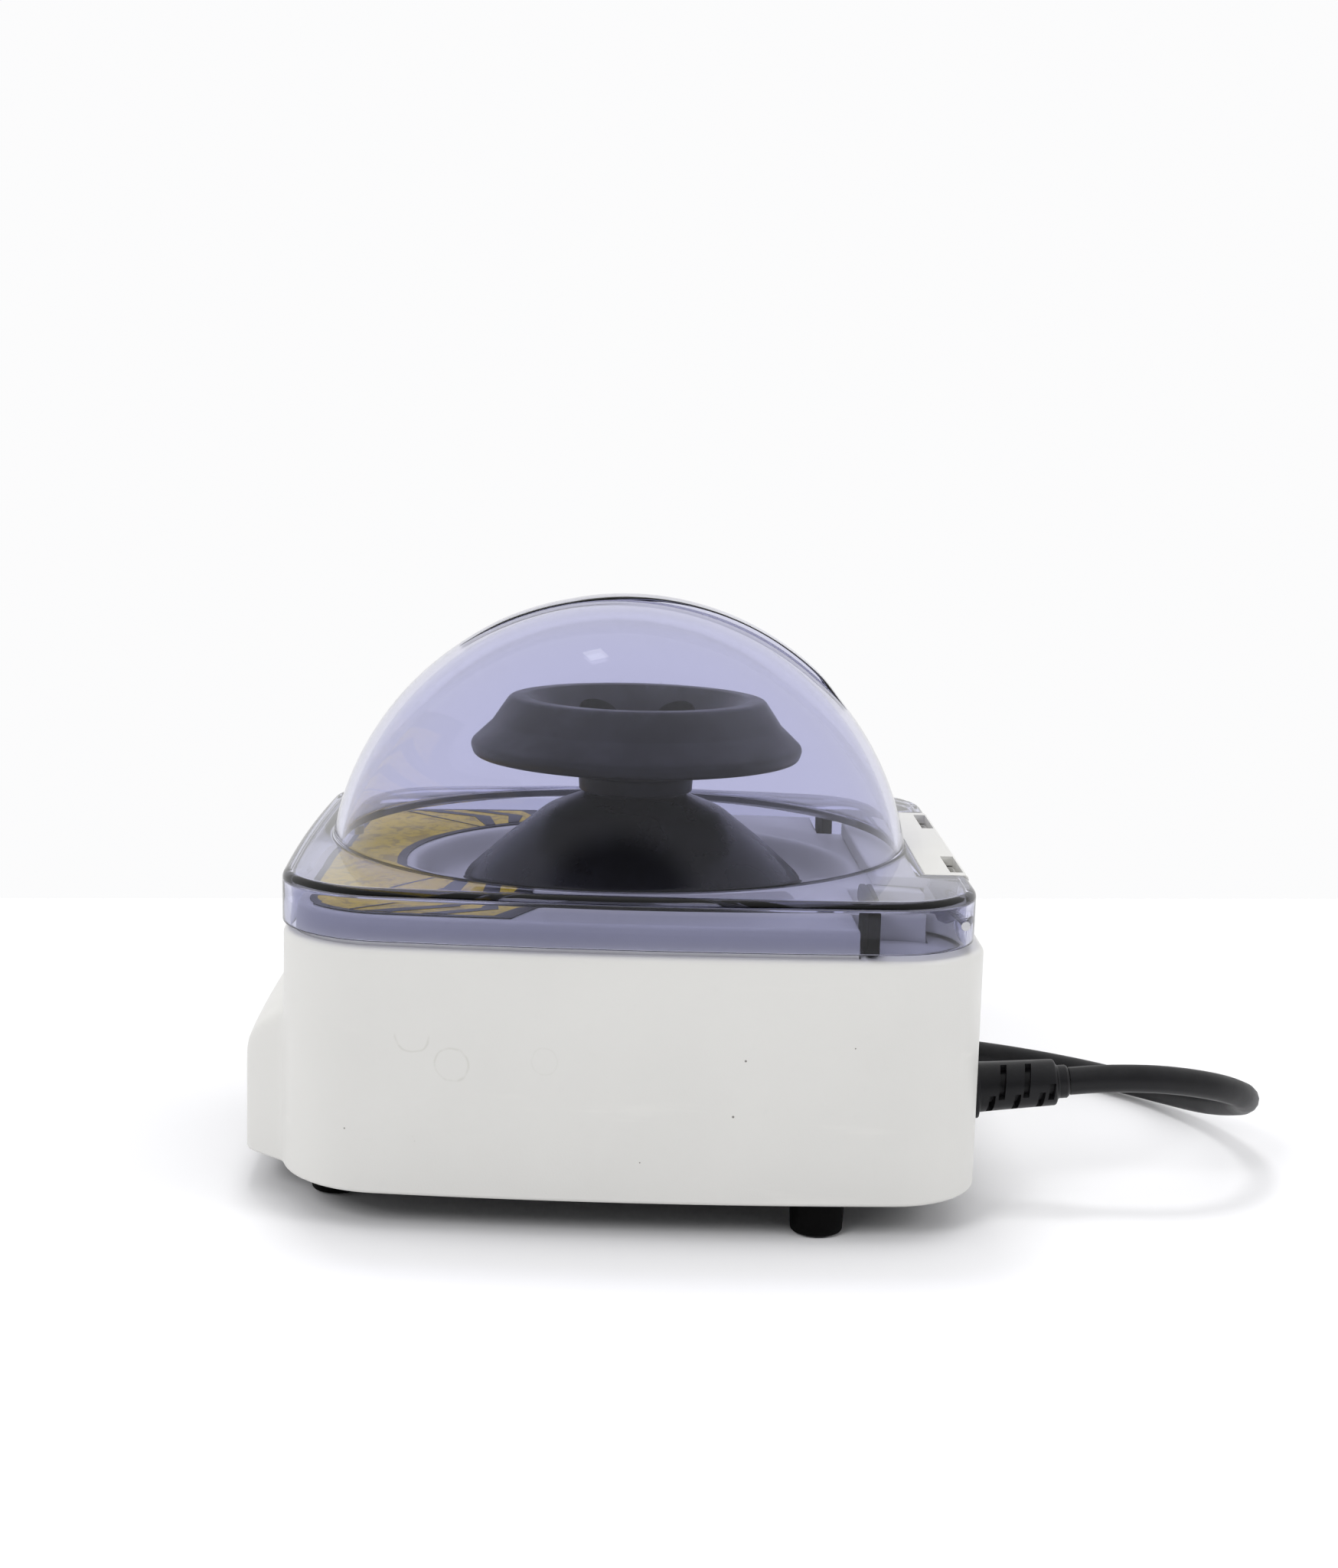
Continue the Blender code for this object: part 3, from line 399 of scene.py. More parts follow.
def housing_marks(n, tint):
    worn = (0.49, 0.485, 0.44)
    for y, z, radius, width, lo in ((-34.0, 39.0, 3.7, 0.42, 0.0), (-43.0, 45.0, 3.6, 0.40, 0.3), (-13.5, 40.5, 3.0, 0.35, 0.0)):
        strength = 0.42 if y < -20 else 0.16
        tint = n.mix(n.math("MULTIPLY", ring_mark(n, y, z, radius, width, lo), strength), tint, worn)
    for y, z, radius in ((30.8, 41.8, 0.34), (28.4, 29.0, 0.36), (55.0, 45.0, 0.22), (-58.0, 23.0, 0.24), (8.0, 18.0, 0.2)):
        tint = n.mix(n.math("MULTIPLY", spot_mark(n, y, z, radius), 0.85), tint, (0.10, 0.09, 0.08))
    # handling grime and fine rubs
    specks = n.between(n.cells(330.0), 0.0, 0.075, 1.0, 0.0)
    specks = n.math("MULTIPLY", specks, n.between(n.noise(38.0, 2.0), 0.58, 0.66))
    tint = n.mix(n.math("MULTIPLY", specks, 0.35), tint, (0.30, 0.28, 0.24))
    rub = n.between(n.noise(30.0, 5.0, 0.6, n.stretch(1.0, 0.35, 3.0)), 0.60, 0.78, 0.0, 0.30)
    return n.mix(rub, tint, (0.83, 0.82, 0.78))


IVORY = (0.665, 0.660, 0.635)
MAT = {}
MAT["housing"] = plastic("housing_ivory", IVORY, 0.40, 0.035, 0.03, housing_marks)
MAT["ivory"] = plastic("ivory_trim", IVORY, 0.40, 0.04, 0.03)
MAT["deck"] = plastic("deck_ivory", (0.62, 0.615, 0.60), 0.38, 0.06, 0.03)


def clear_plastic(name, color, rough, low_shade_tint=None):
    """Tinted clear plastic that lets lamplight through, with dust and hairline scratches; given a low colour, it also
    gets painted shade low on the skirt and a painted dark band along the plate's rounded edge.
    """
    n = Nodes(name)
    clean = color
    dust = n.between(n.cells(520.0), 0.0, 0.060, 1.0, 0.0)
    dust = n.math("MULTIPLY", dust, n.between(n.noise(60.0, 3.0), 0.50, 0.62))
    hair = n.noise(90.0, 1.0, 0.4, n.stretch(1.0, 6.0, 1.0), 1.2)
    hair = n.between(n.math("ABSOLUTE", n.math("SUBTRACT", hair, 0.5)), 0.0, 0.004, 1.0, 0.0)
    hair = n.math("MULTIPLY", hair, n.between(n.noise(22.0, 2.0), 0.56, 0.64))
    worn = n.math("MAXIMUM", n.math("MULTIPLY", dust, 0.7), n.math("MULTIPLY", hair, 0.5))
    tint = n.mix(n.between(n.noise(9.0, 2.0), 0.35, 0.65, 0.0, 0.25), clean, tuple(c * 0.97 for c in clean))
    # painted shade: below about 75 mm the clear skirt takes the darker low colour, standing for the shaded deck wall
    # seen through it
    if low_shade_tint:
        high = n.split()[2]
        tint = n.mix(n.between(high, 0.0738, 0.0752, 1.0, 0.0), tint, low_shade_tint)
        # painted shade: a near-black band from 75.9 to 78 mm stands for the dark seen through the plate's rounded edge
        painted_edge_shade = n.math("MULTIPLY", n.between(high, 0.07590, 0.07605), n.between(high, 0.07788, 0.07799, 1.0, 0.0))
        tint = n.mix(n.math("MULTIPLY", painted_edge_shade, 0.97), tint, (0.020, 0.020, 0.028))
    n.set(color=tint, ior=1.37, clear=1.0, specular=0.4)
    n.set(rough=n.math("ADD", rough, n.math("MULTIPLY", worn, 0.35)))
    n.set(normal=n.bump(n.noise(26.0, 2.0), 0.12, 0.25))
    clear = n.tree.nodes.new("ShaderNodeBsdfTransparent")
    clear.inputs["Color"].default_value = (*[c ** 0.5 for c in color], 1.0)
    path = n.tree.nodes.new("ShaderNodeLightPath")
    mixed = n.tree.nodes.new("ShaderNodeMixShader")
    n.put(mixed.inputs[0], path.outputs["Is Shadow Ray"])
    n.put(mixed.inputs[1], n.shader.outputs[0])
    n.put(mixed.inputs[2], clear.outputs[0])
    n.put(n.out.inputs["Surface"], mixed.outputs[0])
    return n.mat


TINT = (0.700, 0.705, 0.850)
# the last colour is the painted shade for the low part of the skirt
MAT["lid"] = clear_plastic("lid_clear", TINT, 0.02, (0.55, 0.56, 0.71))
MAT["lid_part"] = clear_plastic("lid_clear_part", (0.52, 0.52, 0.60), 0.05)


def dusty(name, color, rough, dust_color, amount, grain=0.03, specular=0.3):
    """Dark plastic or rubber with dust lying on what faces up."""
    n = Nodes(name)
    cloud = n.between(n.noise(60.0, 5.0, 0.65), 0.42, 0.72)
    specks = n.between(n.cells(900.0), 0.0, 0.12, 1.0, 0.0)
    specks = n.math("MULTIPLY", specks, n.between(n.noise(90.0, 2.0), 0.50, 0.60))
    lying = n.between(n.up(), 0.0, 1.0, 0.25, 1.0)
    dust = n.math("MULTIPLY", n.math("MAXIMUM", n.math("MULTIPLY", cloud, 0.45), specks), n.math("MULTIPLY", lying, amount), clamp=True)
    base = n.mix(n.between(n.noise(25.0, 3.0), 0.35, 0.7), color, tuple(c * 1.35 + 0.002 for c in color))
    n.set(color=n.mix(dust, base, dust_color), rough=n.math("ADD", n.between(n.noise(70.0, 4.0), 0.3, 0.7, rough - 0.05, rough + 0.08), n.math("MULTIPLY", dust, 0.3)),
          normal=n.bump(n.noise(1900.0, 2.0), grain, 0.6), specular=specular)
    return n.mat


MAT["rotor"] = dusty("rotor_black", (0.0115, 0.0112, 0.0125), 0.36, (0.26, 0.26, 0.28), 0.24, 0.0018, specular=0.26)
MAT["shroud"] = dusty("shroud_black", (0.003, 0.003, 0.0035), 0.28, (0.20, 0.20, 0.22), 0.07, 0.005, specular=0.20)
MAT["black"] = dusty("panel_black", (0.012, 0.012, 0.013), 0.38, (0.30, 0.30, 0.30), 0.10, 0.03, specular=0.3)
MAT["rubber"] = dusty("rubber_black", (0.0015, 0.0015, 0.0015), 0.62, (0.14, 0.13, 0.12), 0.05, 0.04, specular=0.06)
MAT["relief"] = dusty("relief_black", (0.005, 0.005, 0.006), 0.40, (0.22, 0.22, 0.22), 0.10, 0.04, specular=0.25)
MAT["cord"] = dusty("cord_black", (0.005, 0.005, 0.006), 0.42, (0.20, 0.20, 0.20), 0.10, 0.03, specular=0.25)
MAT["tie"] = dusty("tie_black", (0.02, 0.02, 0.021), 0.55, (0.25, 0.25, 0.25), 0.15, 0.05, specular=0.2)


def metal(name, color, rough, along=(1.0, 1.0, 14.0)):
    n = Nodes(name)
    lines = n.noise(420.0, 3.0, 0.6, n.stretch(*along))
    worn = n.noise(30.0, 4.0)
    n.set(color=n.mix(n.between(worn, 0.4, 0.7), color, tuple(c * 0.86 for c in color)), metal=1.0,
          rough=n.between(lines, 0.3, 0.7, rough - 0.07, rough + 0.10), normal=n.bump(lines, 0.01, 0.5))
    return n.mat


MAT["steel"] = metal("bright_steel", (0.62, 0.62, 0.64), 0.26)
MAT["zinc"] = metal("zinc_plate", (0.55, 0.56, 0.58), 0.36, (1.0, 1.0, 1.0))
MAT["copper"] = metal("copper_wire", (0.62, 0.28, 0.12), 0.30, (1.0, 1.0, 30.0))
MAT["core"] = metal("core_laminations", (0.20, 0.20, 0.22), 0.45, (1.0, 40.0, 1.0))


def board_material():
    n = Nodes("circuit_board")
    tracks = n.between(n.cells(260.0, n.stretch(1.0, 1.0, 0.0)), 0.18, 0.22)
    weave = n.noise(700.0, 3.0)
    color = n.mix(tracks, (0.030, 0.150, 0.060), (0.020, 0.105, 0.042))
    n.set(color=n.mix(n.between(weave, 0.5, 0.8, 0.0, 0.4), color, (0.05, 0.19, 0.09)), rough=0.38, normal=n.bump(tracks, 0.03, 0.5))
    return n.mat


MAT["board"] = board_material()


def printed(name, color, smudge, amount):
    """Printed film: ink with mottled rubbed smudges under a clear layer."""
    n = Nodes(name)
    blots = n.between(n.noise(150.0, 5.0, 0.7, None, 0.6), 0.50, 0.60)
    small = n.between(n.noise(520.0, 4.0, 0.7), 0.53, 0.63)
    dirt = n.math("MULTIPLY", n.math("MAXIMUM", n.math("MULTIPLY", blots, 0.75), n.math("MULTIPLY", small, 0.55)), amount)
    tone = n.mix(n.between(n.noise(22.0, 3.0), 0.3, 0.7), color, tuple(c * 0.90 for c in color))
    n.set(color=n.mix(dirt, tone, smudge), rough=n.between(n.noise(80.0, 3.0), 0.3, 0.7, 0.30, 0.42), coat=0.25, coat_rough=0.2,
          normal=n.bump(n.noise(500.0, 3.0), 0.02, 0.4), specular=0.25)
    return n.mat


MAT["yellow"] = printed("label_yellow", (0.74, 0.52, 0.006), (0.17, 0.12, 0.015), 0.80)
MAT["ink"] = printed("label_ink", (0.006, 0.006, 0.006), (0.03, 0.028, 0.022), 0.4)

MAT["mark"] = printed("mark_white", (0.70, 0.70, 0.69), (0.40, 0.39, 0.37), 0.5)
MAT["gloss"] = dusty("rocker_black", (0.008, 0.008, 0.009), 0.22, (0.30, 0.30, 0.30), 0.08, 0.01, specular=0.45)

# every carried-over node gets a finished material
RULES = (
    ("foot_screw", "zinc"), ("mount_screw", "zinc"), ("hinge_pin", "steel"), ("plug_blade", "steel"), ("plug_ground", "steel"), ("rotor_shaft", "steel"), ("rotor_washer", "steel"),
    ("lid_magnet", "zinc"), ("motor_can", "zinc"), ("motor_mount", "zinc"), ("board_bracket", "zinc"), ("base_housing", "housing"), ("bottom_plate", "black"),
    ("hinge_block", "ivory"), ("hinge_cover", "ivory"), ("release_button", "ivory"), ("chamber_deck", "deck"), ("chamber_seal", "rubber"), ("mount_grommet", "rubber"), ("rubber_foot", "rubber"),
    ("strain_relief", "relief"), ("lid_shell", "lid"), ("lid_hinge_arm", "lid_part"), ("lid_catch", "lid_part"), ("rotor_disc", "rotor"), ("rotor_nut", "rotor"), ("motor_shroud", "shroud"),
    ("deck_label", "yellow"), ("power_board", "board"), ("transformer_core", "core"), ("transformer_winding", "copper"), ("power_cord", "cord"), ("cord_", "cord"), ("", "black"))
for name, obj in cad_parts.items():
    key = next(value for prefix, value in RULES if name.startswith(prefix))
    obj.data.materials.clear()
    obj.data.materials.append(MAT[key])


def dress(obj, key, body, nodes=()):
    """Material, body, and the frame nodes that the piece stands for."""
    obj.data.materials.clear()
    obj.data.materials.append(MAT[key])
    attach(obj, body)
    if nodes:
        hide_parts(*nodes)
    return obj


# ---------------------------------------------------------------- mains lead: route, coil and tail on one line
def smooth_path(points, spacing, passes=40):
    dense = []
    for i in range(len(points) - 1):
        p0, p1, p2, p3 = points[max(i - 1, 0)], points[i], points[i + 1], points[min(i + 2, len(points) - 1)]
        for k in range(24):
            t = k / 24
            dense.append(0.5 * ((2 * p1) + (p2 - p0) * t + (2 * p0 - 5 * p1 + 4 * p2 - p3) * t * t + (3 * p1 - p0 - 3 * p2 + p3) * t ** 3))
    dense.append(points[-1])
    for _ in range(passes):
        dense = [dense[0], dense[1]] + [(dense[i - 1] + 2 * dense[i] + dense[i + 1]) / 4 for i in range(2, len(dense) - 2)] + [dense[-2], dense[-1]]
    return dense


def resample(dense, spacing):
    length = [0.0]
    for a, b in zip(dense, dense[1:]):
        length.append(length[-1] + (b - a).length)
    count = max(2, round(length[-1] / spacing)) + 1
    result, k = [], 0
    for i in range(count):
        want = length[-1] * i / (count - 1)
        while k < len(dense) - 2 and length[k + 1] < want:
            k += 1
        t = (want - length[k]) / max(length[k + 1] - length[k], 1e-9)
        result.append(dense[k].lerp(dense[k + 1], t))
    return result, length[-1]


tilt_axis = Vector((0, math.cos(RELIEF_TILT), math.sin(RELIEF_TILT)))
RELIEF_START = Vector((RELIEF_X, REAR_Y, RELIEF_Z))
cord_start = RELIEF_START + tilt_axis * (RELIEF_LEN + GAP)
coil_x = COIL_C[0] + COIL_MEAN_R + 3 * CORD_R + CORD_R + 0.5
ROUTE = [cord_start, cord_start + tilt_axis * 9.0, Vector((37.6, 132.0, 29.0)), Vector((31.0, 147.0, 25.5)), Vector((17.0, 157.5, 19.0)), Vector((-2.0, 160.5, 12.0)),
         Vector((-22.0, 156.5, 6.4)), Vector((-42.0, 146.5, 3.9)), Vector((-58.0, 132.0, 3.4)), Vector((-70.0, 114.5, 3.4)), Vector((-78.5, 96.0, 3.4)), Vector((-84.0, 77.0, 3.4)),
         Vector((-86.6, 58.0, 3.4)), Vector((coil_x, COIL_C[1] + 4.0, 3.4))]
dense = smooth_path(ROUTE, 3.0)


def ease(t):
    t = min(1.0, max(0.0, t))
    return t * t * (3 - 2 * t)


START_ANGLE = math.atan2(4.0, 49.7)
R_START, R_IN, R_OUT = 46.3, 28.4, 42.7
PITCH = 7.0
DWELL = 0.36
T0 = (R_START - R_IN) / PITCH                # turns spiralling in, on the table
T1 = T0 + DWELL                              # climbing to the second layer
T2 = T1 + (R_OUT - R_IN) / PITCH             # turns spiralling out on top of them
TAIL_R = 27.4
tail_x = PLUG_X + TAIL_R
tail_y = COIL_C[1] - math.sqrt((R_OUT - TAIL_R) ** 2 - (tail_x - COIL_C[0]) ** 2)
leave = math.atan2(tail_y - COIL_C[1], tail_x - COIL_C[0])     # where the tail's arc leaves the last turn
T_END = 6.0 + (START_ANGLE - leave) / (2 * math.pi)


def coil_point(t):
    if t < T0:
        r = R_START - PITCH * t
    elif t < T1:
        r = R_IN
    elif t < T2:
        r = R_IN + PITCH * (t - T1)
    else:
        r = R_OUT
    r += 3.4 * (1 - ease(t / 0.40))
    z = 3.4 + 6.7 * ease((t - T0) / DWELL) + 6.7 * ease((t - (T2 - DWELL)) / DWELL) + 7.4 * ease((t - (T2 + 0.56)) / 0.44)
    a = START_ANGLE - 2 * math.pi * t
    return Vector((COIL_C[0] + r * math.cos(a), COIL_C[1] + r * math.sin(a), z))


coil = [coil_point(T_END * i / 900) for i in range(1, 901)]
tail = []
for i in range(1, 41):
    a = leave + (-math.pi + math.radians(1.6) - leave) * i / 40
    tail.append(Vector((tail_x + TAIL_R * math.cos(a), tail_y + TAIL_R * math.sin(a), 24.2 + (PLUG_Z - 24.2) * ease(i / 40))))
whole = dense + coil + tail
fixed, last = 60, 42
for _ in range(30):
    whole = whole[:fixed] + [(whole[i - 1] + 2 * whole[i] + whole[i + 1]) / 4 for i in range(fixed, len(whole) - last)] + whole[-last:]
lead, LEAD_LENGTH = resample(whole, 2.6)
curve = bpy.data.curves.new("mains_lead", "CURVE")
curve.dimensions = "3D"
curve.bevel_depth = CORD_R * MM
curve.bevel_resolution = 5
curve.use_fill_caps = True
spline = curve.splines.new("POLY")
spline.points.add(len(lead) - 1)
spline.use_smooth = True
for point, p in zip(spline.points, lead):
    point.co = (p.x * MM, p.y * MM, p.z * MM, 1.0)
mains_lead = link("mains_lead", curve)
dress(mains_lead, "cord", "base", ("power_cord", "cord_coil", "cord_tail"))


def tie_band(name, angle, width):
    """A soft band strapped round the bundle of turns."""
    out = Vector((math.cos(angle), math.sin(angle), 0))
    side = Vector((-math.sin(angle), math.cos(angle), 0))
    r0, r1, z0, z1 = R_IN - CORD_R - 0.7, R_OUT + CORD_R + 0.5, 0.12, 21.0
    corners = [(r0, z0), (r1, z0), (r1, z1), (r0, z1)]
    outline = []
    for i, (r, z) in enumerate(corners):
        p, a, b = Vector((r, z)), Vector(corners[i - 1]), Vector(corners[(i + 1) % 4])
        for k in range(7):
            t = k / 6
            s, e = p + (a - p).normalized() * 3.6, p + (b - p).normalized() * 3.6
            q = s * (1 - t) ** 2 + p * 2 * t * (1 - t) + e * t * t
            outline.append(q)
    rows = []
    for w, grow in ((-width / 2, 0.0), (-width / 2 + 0.3, 0.25), (width / 2 - 0.3, 0.25), (width / 2, 0.0)):
        rows.append([w, grow])
    mid = Vector(((r0 + r1) / 2, (z0 + z1) / 2))
    skins = []
    for layer in (0.0, 0.9):
        for w, grow in (rows if layer == 0.0 else reversed(rows)):
            ring = []
            for q in outline:
                inward = (mid - q).normalized() * (layer - grow + 0.25)
                p = q + inward
                spot = Vector((COIL_C[0], COIL_C[1], 0)) + out * p.x + side * w + Vector((0, 0, max(p.y, 0.05)))
                ring.append(tuple(spot))
            skins.append(ring)
    return lofted(name, skins, closed=True, smooth=40)


tie = tie_band("cord_tie", math.radians(105.0), 5.0)
dress(tie, "tie", "base", ())

# plug: moulded body with grip ridges and a bend relief
y0 = COIL_C[1] - 13.0 + 0.5
sections = [(0.0, 3.9, 3.9, 1.0), (0.6, 4.5, 4.5, 1.0), (12.6, 5.5, 5.3, 1.0), (14.2, 7.4, 6.6, 0.8), (16.4, 10.6, 8.8, 0.62), (19.5, 12.2, 9.9, 0.52)]
for k in range(5):
    base_y = 20.6 + 2.5 * k
    sections += [(base_y, 12.3, 10.0, 0.5), (base_y + 0.5, 11.7, 9.4, 0.5), (base_y + 1.3, 11.7, 9.4, 0.5), (base_y + 1.8, 12.3, 10.0, 0.5)]
sections += [(34.0, 12.5, 10.1, 0.5), (37.6, 12.5, 10.1, 0.5), (38.6, 12.1, 9.8, 0.5), (38.98, 11.2, 9.0, 0.5)]
rows = []
for dy, hx, hz, power in sections:
    row = []
    for i in range(96):
        a = 2 * math.pi * i / 96
        cx, sz = math.copysign(abs(math.cos(a)) ** power, math.cos(a)), math.copysign(abs(math.sin(a)) ** power, math.sin(a))
        row.append((PLUG_X + hx * cx, y0 + dy, PLUG_Z + hz * sz))
    rows.append(row)
plug = lofted("plug_moulding", rows, (PLUG_X, y0, PLUG_Z), (PLUG_X, y0 + 39.0, PLUG_Z), smooth=30)
dress(plug, "relief", "base", ("plug_body",))

# strain relief: flange, slotted sleeve and collar
place = Matrix.Translation(RELIEF_START * MM) @ tilt_axis.to_track_quat("Z", "Y").to_matrix().to_4x4()
profile = rounded_profile([(0.0, -3.6), (5.5, -3.6), (5.5, 1.05), (7.3, 1.05), (7.3, 2.1), (5.95, 2.3), (5.75, 8.0), (5.45, 20.7), (4.2, 21.2), (3.9, 21.6), (3.9, 23.4), (3.4, 24.0), (0.0, 24.0)],
                          [0, 0.2, 0, 0.4, 0.4, 0.5, 6, 0.8, 0.4, 0.3, 0.3, 0.3, 0], 4)
relief = turned("strain_relief_sleeve", profile, steps=96, place=place, smooth=32)
slots = bmesh.new()
for middle, half, along in ((26, 46, 8.0), (27, 46, 13.8), (-41, 33, 4.9), (-42, 33, 10.9), (-41, 33, 16.7), (-10, 22, 19.4),
                            (206, 46, 8.0), (207, 46, 13.8), (139, 33, 4.9), (138, 33, 10.9), (139, 33, 16.7), (170, 22, 19.4)):
    rows = []
    for k in range(15):
        turn_by = math.radians(middle - half + 2 * half * k / 14)
        z = along + 5.6 * math.tan(math.radians(8.0)) * (turn_by - math.radians(middle))
        rows.append([(-r * math.cos(turn_by), r * math.sin(turn_by), z + w) for r, w in ((3.93, -0.62), (8.1, -0.86), (8.1, 0.86), (3.93, 0.62))])
    ends = [tuple(sum(p[i] for p in row) / 4 for i in range(3)) for row in (rows[0], rows[-1])]
    slot_cutter = lofted("cutter", rows, ends[0], ends[1], smooth=0)
    slots.from_mesh(slot_cutter.data)
    bpy.data.objects.remove(slot_cutter, do_unlink=True)
bmesh.ops.transform(slots, matrix=place, verts=slots.verts)
cut(relief, [object_from("cutter", slots, 0)], smooth=32)
dress(relief, "relief", "base", ("strain_relief",))

# ---------------------------------------------------------------- housing
side_x = HALF_WIDTH - SIDE_BOW * ((NOTCH_Y - WIDEST_Y) / 60.0) ** 2 - DECK_INSET
corner_points = []
for side in (1, -1):
    corner_points += [(side * side_x, NOTCH_Y), (side * NOTCH_X, NOTCH_Y), (side * NOTCH_X, DECK_REAR_Y)]
ANGLES = with_keys(360, corner_points)


def housing_ring(z, inset, bulge):
    return ring_of(lambda a: radius_at(a, AXIS_Y, inset, bulge), z, AXIS_Y, ANGLES)


rows = [ring_of(lambda a: deck_radius(a, 0.5), HOUSING_TOP - 0.3, AXIS_Y, ANGLES), ring_of(lambda a: deck_radius(a, 0.7), HOUSING_TOP, AXIS_Y, ANGLES), housing_ring(HOUSING_TOP, 1.5, 0.0)]
for k in range(1, 7):
    phi = math.pi / 2 * k / 6
    rows.append(housing_ring(HOUSING_TOP - 1.5 * (1 - math.cos(phi)), 1.5 * (1 - math.sin(phi)), 0.0))
rows += [housing_ring(54.0, 0.0, 0.0), housing_ring(45.0, 0.0, 0.0), housing_ring(44.2, 0.0, 0.0)]
for z, b in ((43.4, 1.2), (42.4, 3.0), (41.0, 4.9), (39.4, 6.6), (37.8, 7.8), (36.2, 8.7), (34.4, 9.45), (32.5, 9.8), (30.0, BULGE), (20.0, BULGE)):
    rows.append(housing_ring(z, 0.0, b))
for k in range(0, 6):
    phi = math.pi / 2 * k / 5
    rows.append(housing_ring(HOUSING_BOTTOM + 1.0 * (1 - math.sin(phi)), 1.0 * (1 - math.cos(phi)), BULGE))
rows += [housing_ring(HOUSING_BOTTOM, 2.2, BULGE), housing_ring(HOUSING_BOTTOM + 0.3, WALL, BULGE), housing_ring(32.5, WALL, BULGE), housing_ring(37.8, WALL, 7.8), housing_ring(41.0, WALL, 4.9),
         housing_ring(44.2, WALL, 0.0), housing_ring(HOUSING_TOP - WALL, WALL, 0.0), ring_of(lambda a: deck_radius(a, 0.5), HOUSING_TOP - WALL, AXIS_Y, ANGLES)]
housing = lofted("housing_shell", rows, closed=True, smooth=30)
cut(housing, [box_cutter((-31.0, -95.0, 11.5), (31.0, -78.0, 30.5)), cylinder_cutter((RELIEF_X, RELIEF_Z), 6.2, 78, 92, "Y", 48)], smooth=30)
dress(housing, "housing", "base", ("base_housing",))

# deck with the rotor bowl
rows = [ring_of(20.0, BOWL_FLOOR, AXIS_Y, ANGLES), ring_of(45.6, BOWL_FLOOR, AXIS_Y, ANGLES)]
for r, z in ((47.6, 64.15), (49.2, 64.75), (50.4, 65.9), (51.2, 67.2), (52.0, 68.5), (52.9, 70.0), (53.4, 70.6), (54.0, 71.1), (54.8, DECK_TOP)):
    rows.append(ring_of(r, z, AXIS_Y, ANGLES))
rows.append(ring_of(56.0, DECK_TOP, AXIS_Y, ANGLES))
for k in range(0, 6):
    phi = math.pi / 2 * k / 5
    rows.append(ring_of(lambda a, g=-1.1 * (1 - math.sin(phi)): deck_radius(a, g), DECK_TOP - 1.1 * (1 - math.cos(phi)), AXIS_Y, ANGLES))
rows += [ring_of(deck_radius, 60.0, AXIS_Y, ANGLES), ring_of(lambda a: deck_radius(a, -2.0), 60.0, AXIS_Y, ANGLES), ring_of(lambda a: deck_radius(a, -2.0), 69.3, AXIS_Y, ANGLES),
         ring_of(55.6, 69.3, AXIS_Y, ANGLES), ring_of(54.0, 68.0, AXIS_Y, ANGLES), ring_of(51.4, 63.6, AXIS_Y, ANGLES), ring_of(47.0, 62.0, AXIS_Y, ANGLES), ring_of(20.0, 62.0, AXIS_Y, ANGLES)]
deck = lofted("deck_bowl", rows, closed=True, smooth=30)
cut(deck, [box_cutter((11.0, -74, 66.6), (17.0, -68.5, 69.0))], smooth=30)
dress(deck, "deck", "base", ("chamber_deck",))

# rubber seal bars at both rear corners, with a rounded lip and a moulded groove
for side, word in ((1, "right"), (-1, "left")):
    lo, hi = sorted((side * 50.0, side * 71.2))
    bar = box_cutter((lo, 56.8, 65.1), (hi, 59.7, 75.3), 0.45, 3, keep="seal_bar_" + word)
    lo, hi = sorted((side * 49.0, side * 69.6))
    cut(bar, [box_cutter((lo, 58.0, 74.7), (hi, 58.6, 76.0), 0.15, 2)], smooth=35)
    dress(bar, "rubber", "base", ("chamber_seal_" + word,))

# ---------------------------------------------------------------- arc label: black border, yellow field, plain chevrons
half_span = math.atan2(62.0, abs(-19.0 - AXIS_Y))


def label_outer(a):
    return min(deck_radius(a, -1.9), radius_at(a, AXIS_Y, 6.2) if abs(math.cos(a)) < 0.62 else 200.0)


bm = bmesh.new()
count = 240
grid = []
for i in range(count + 1):
    a = -math.pi / 2 - half_span + 2 * half_span * i / count
    outer = label_outer(a)
    grid.append([bm.verts.new((r * math.cos(a) * MM, (AXIS_Y + r * math.sin(a)) * MM, 71.62 * MM)) for r in (56.0, 58.3, (58.3 + outer - 2.0) / 2, outer - 2.0, outer)])
for i, (a, b) in enumerate(zip(grid, grid[1:])):
    ends = i < 6 or i >= count - 6
    for k in range(4):
        face = bm.faces.new((a[k], a[k + 1], b[k + 1], b[k]))
        face.material_index = 1 if k in (0, 3) or ends else 0
label = object_from("arc_label", bm, 0)
label.data.materials.append(MAT["yellow"])
label.data.materials.append(MAT["ink"])
mod = label.modifiers.new("film", "SOLIDIFY")
mod.thickness = 0.18 * MM
mod.offset = -1.0
baked(label, 30)
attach(label, "base")
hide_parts("deck_label")

bm = bmesh.new()


def patch(points, z=71.66, thick=0.05):
    base = [bm.verts.new((x * MM, y * MM, z * MM)) for x, y in points]
    top = [bm.verts.new((x * MM, y * MM, (z + thick) * MM)) for x, y in points]
    bm.faces.new(list(reversed(base)))
    bm.faces.new(top)
    for i in range(len(points)):
        j = (i + 1) % len(points)
        bm.faces.new((base[i], base[j], top[j], top[i]))


def on_label(a, share):
    """A point on the label, share 0 at its inner border and 1 at its outer one."""
    outer = label_outer(a) - 1.9
    r = 58.2 + (outer - 58.2) * share
    return (r * math.cos(a), AXIS_Y + r * math.sin(a))


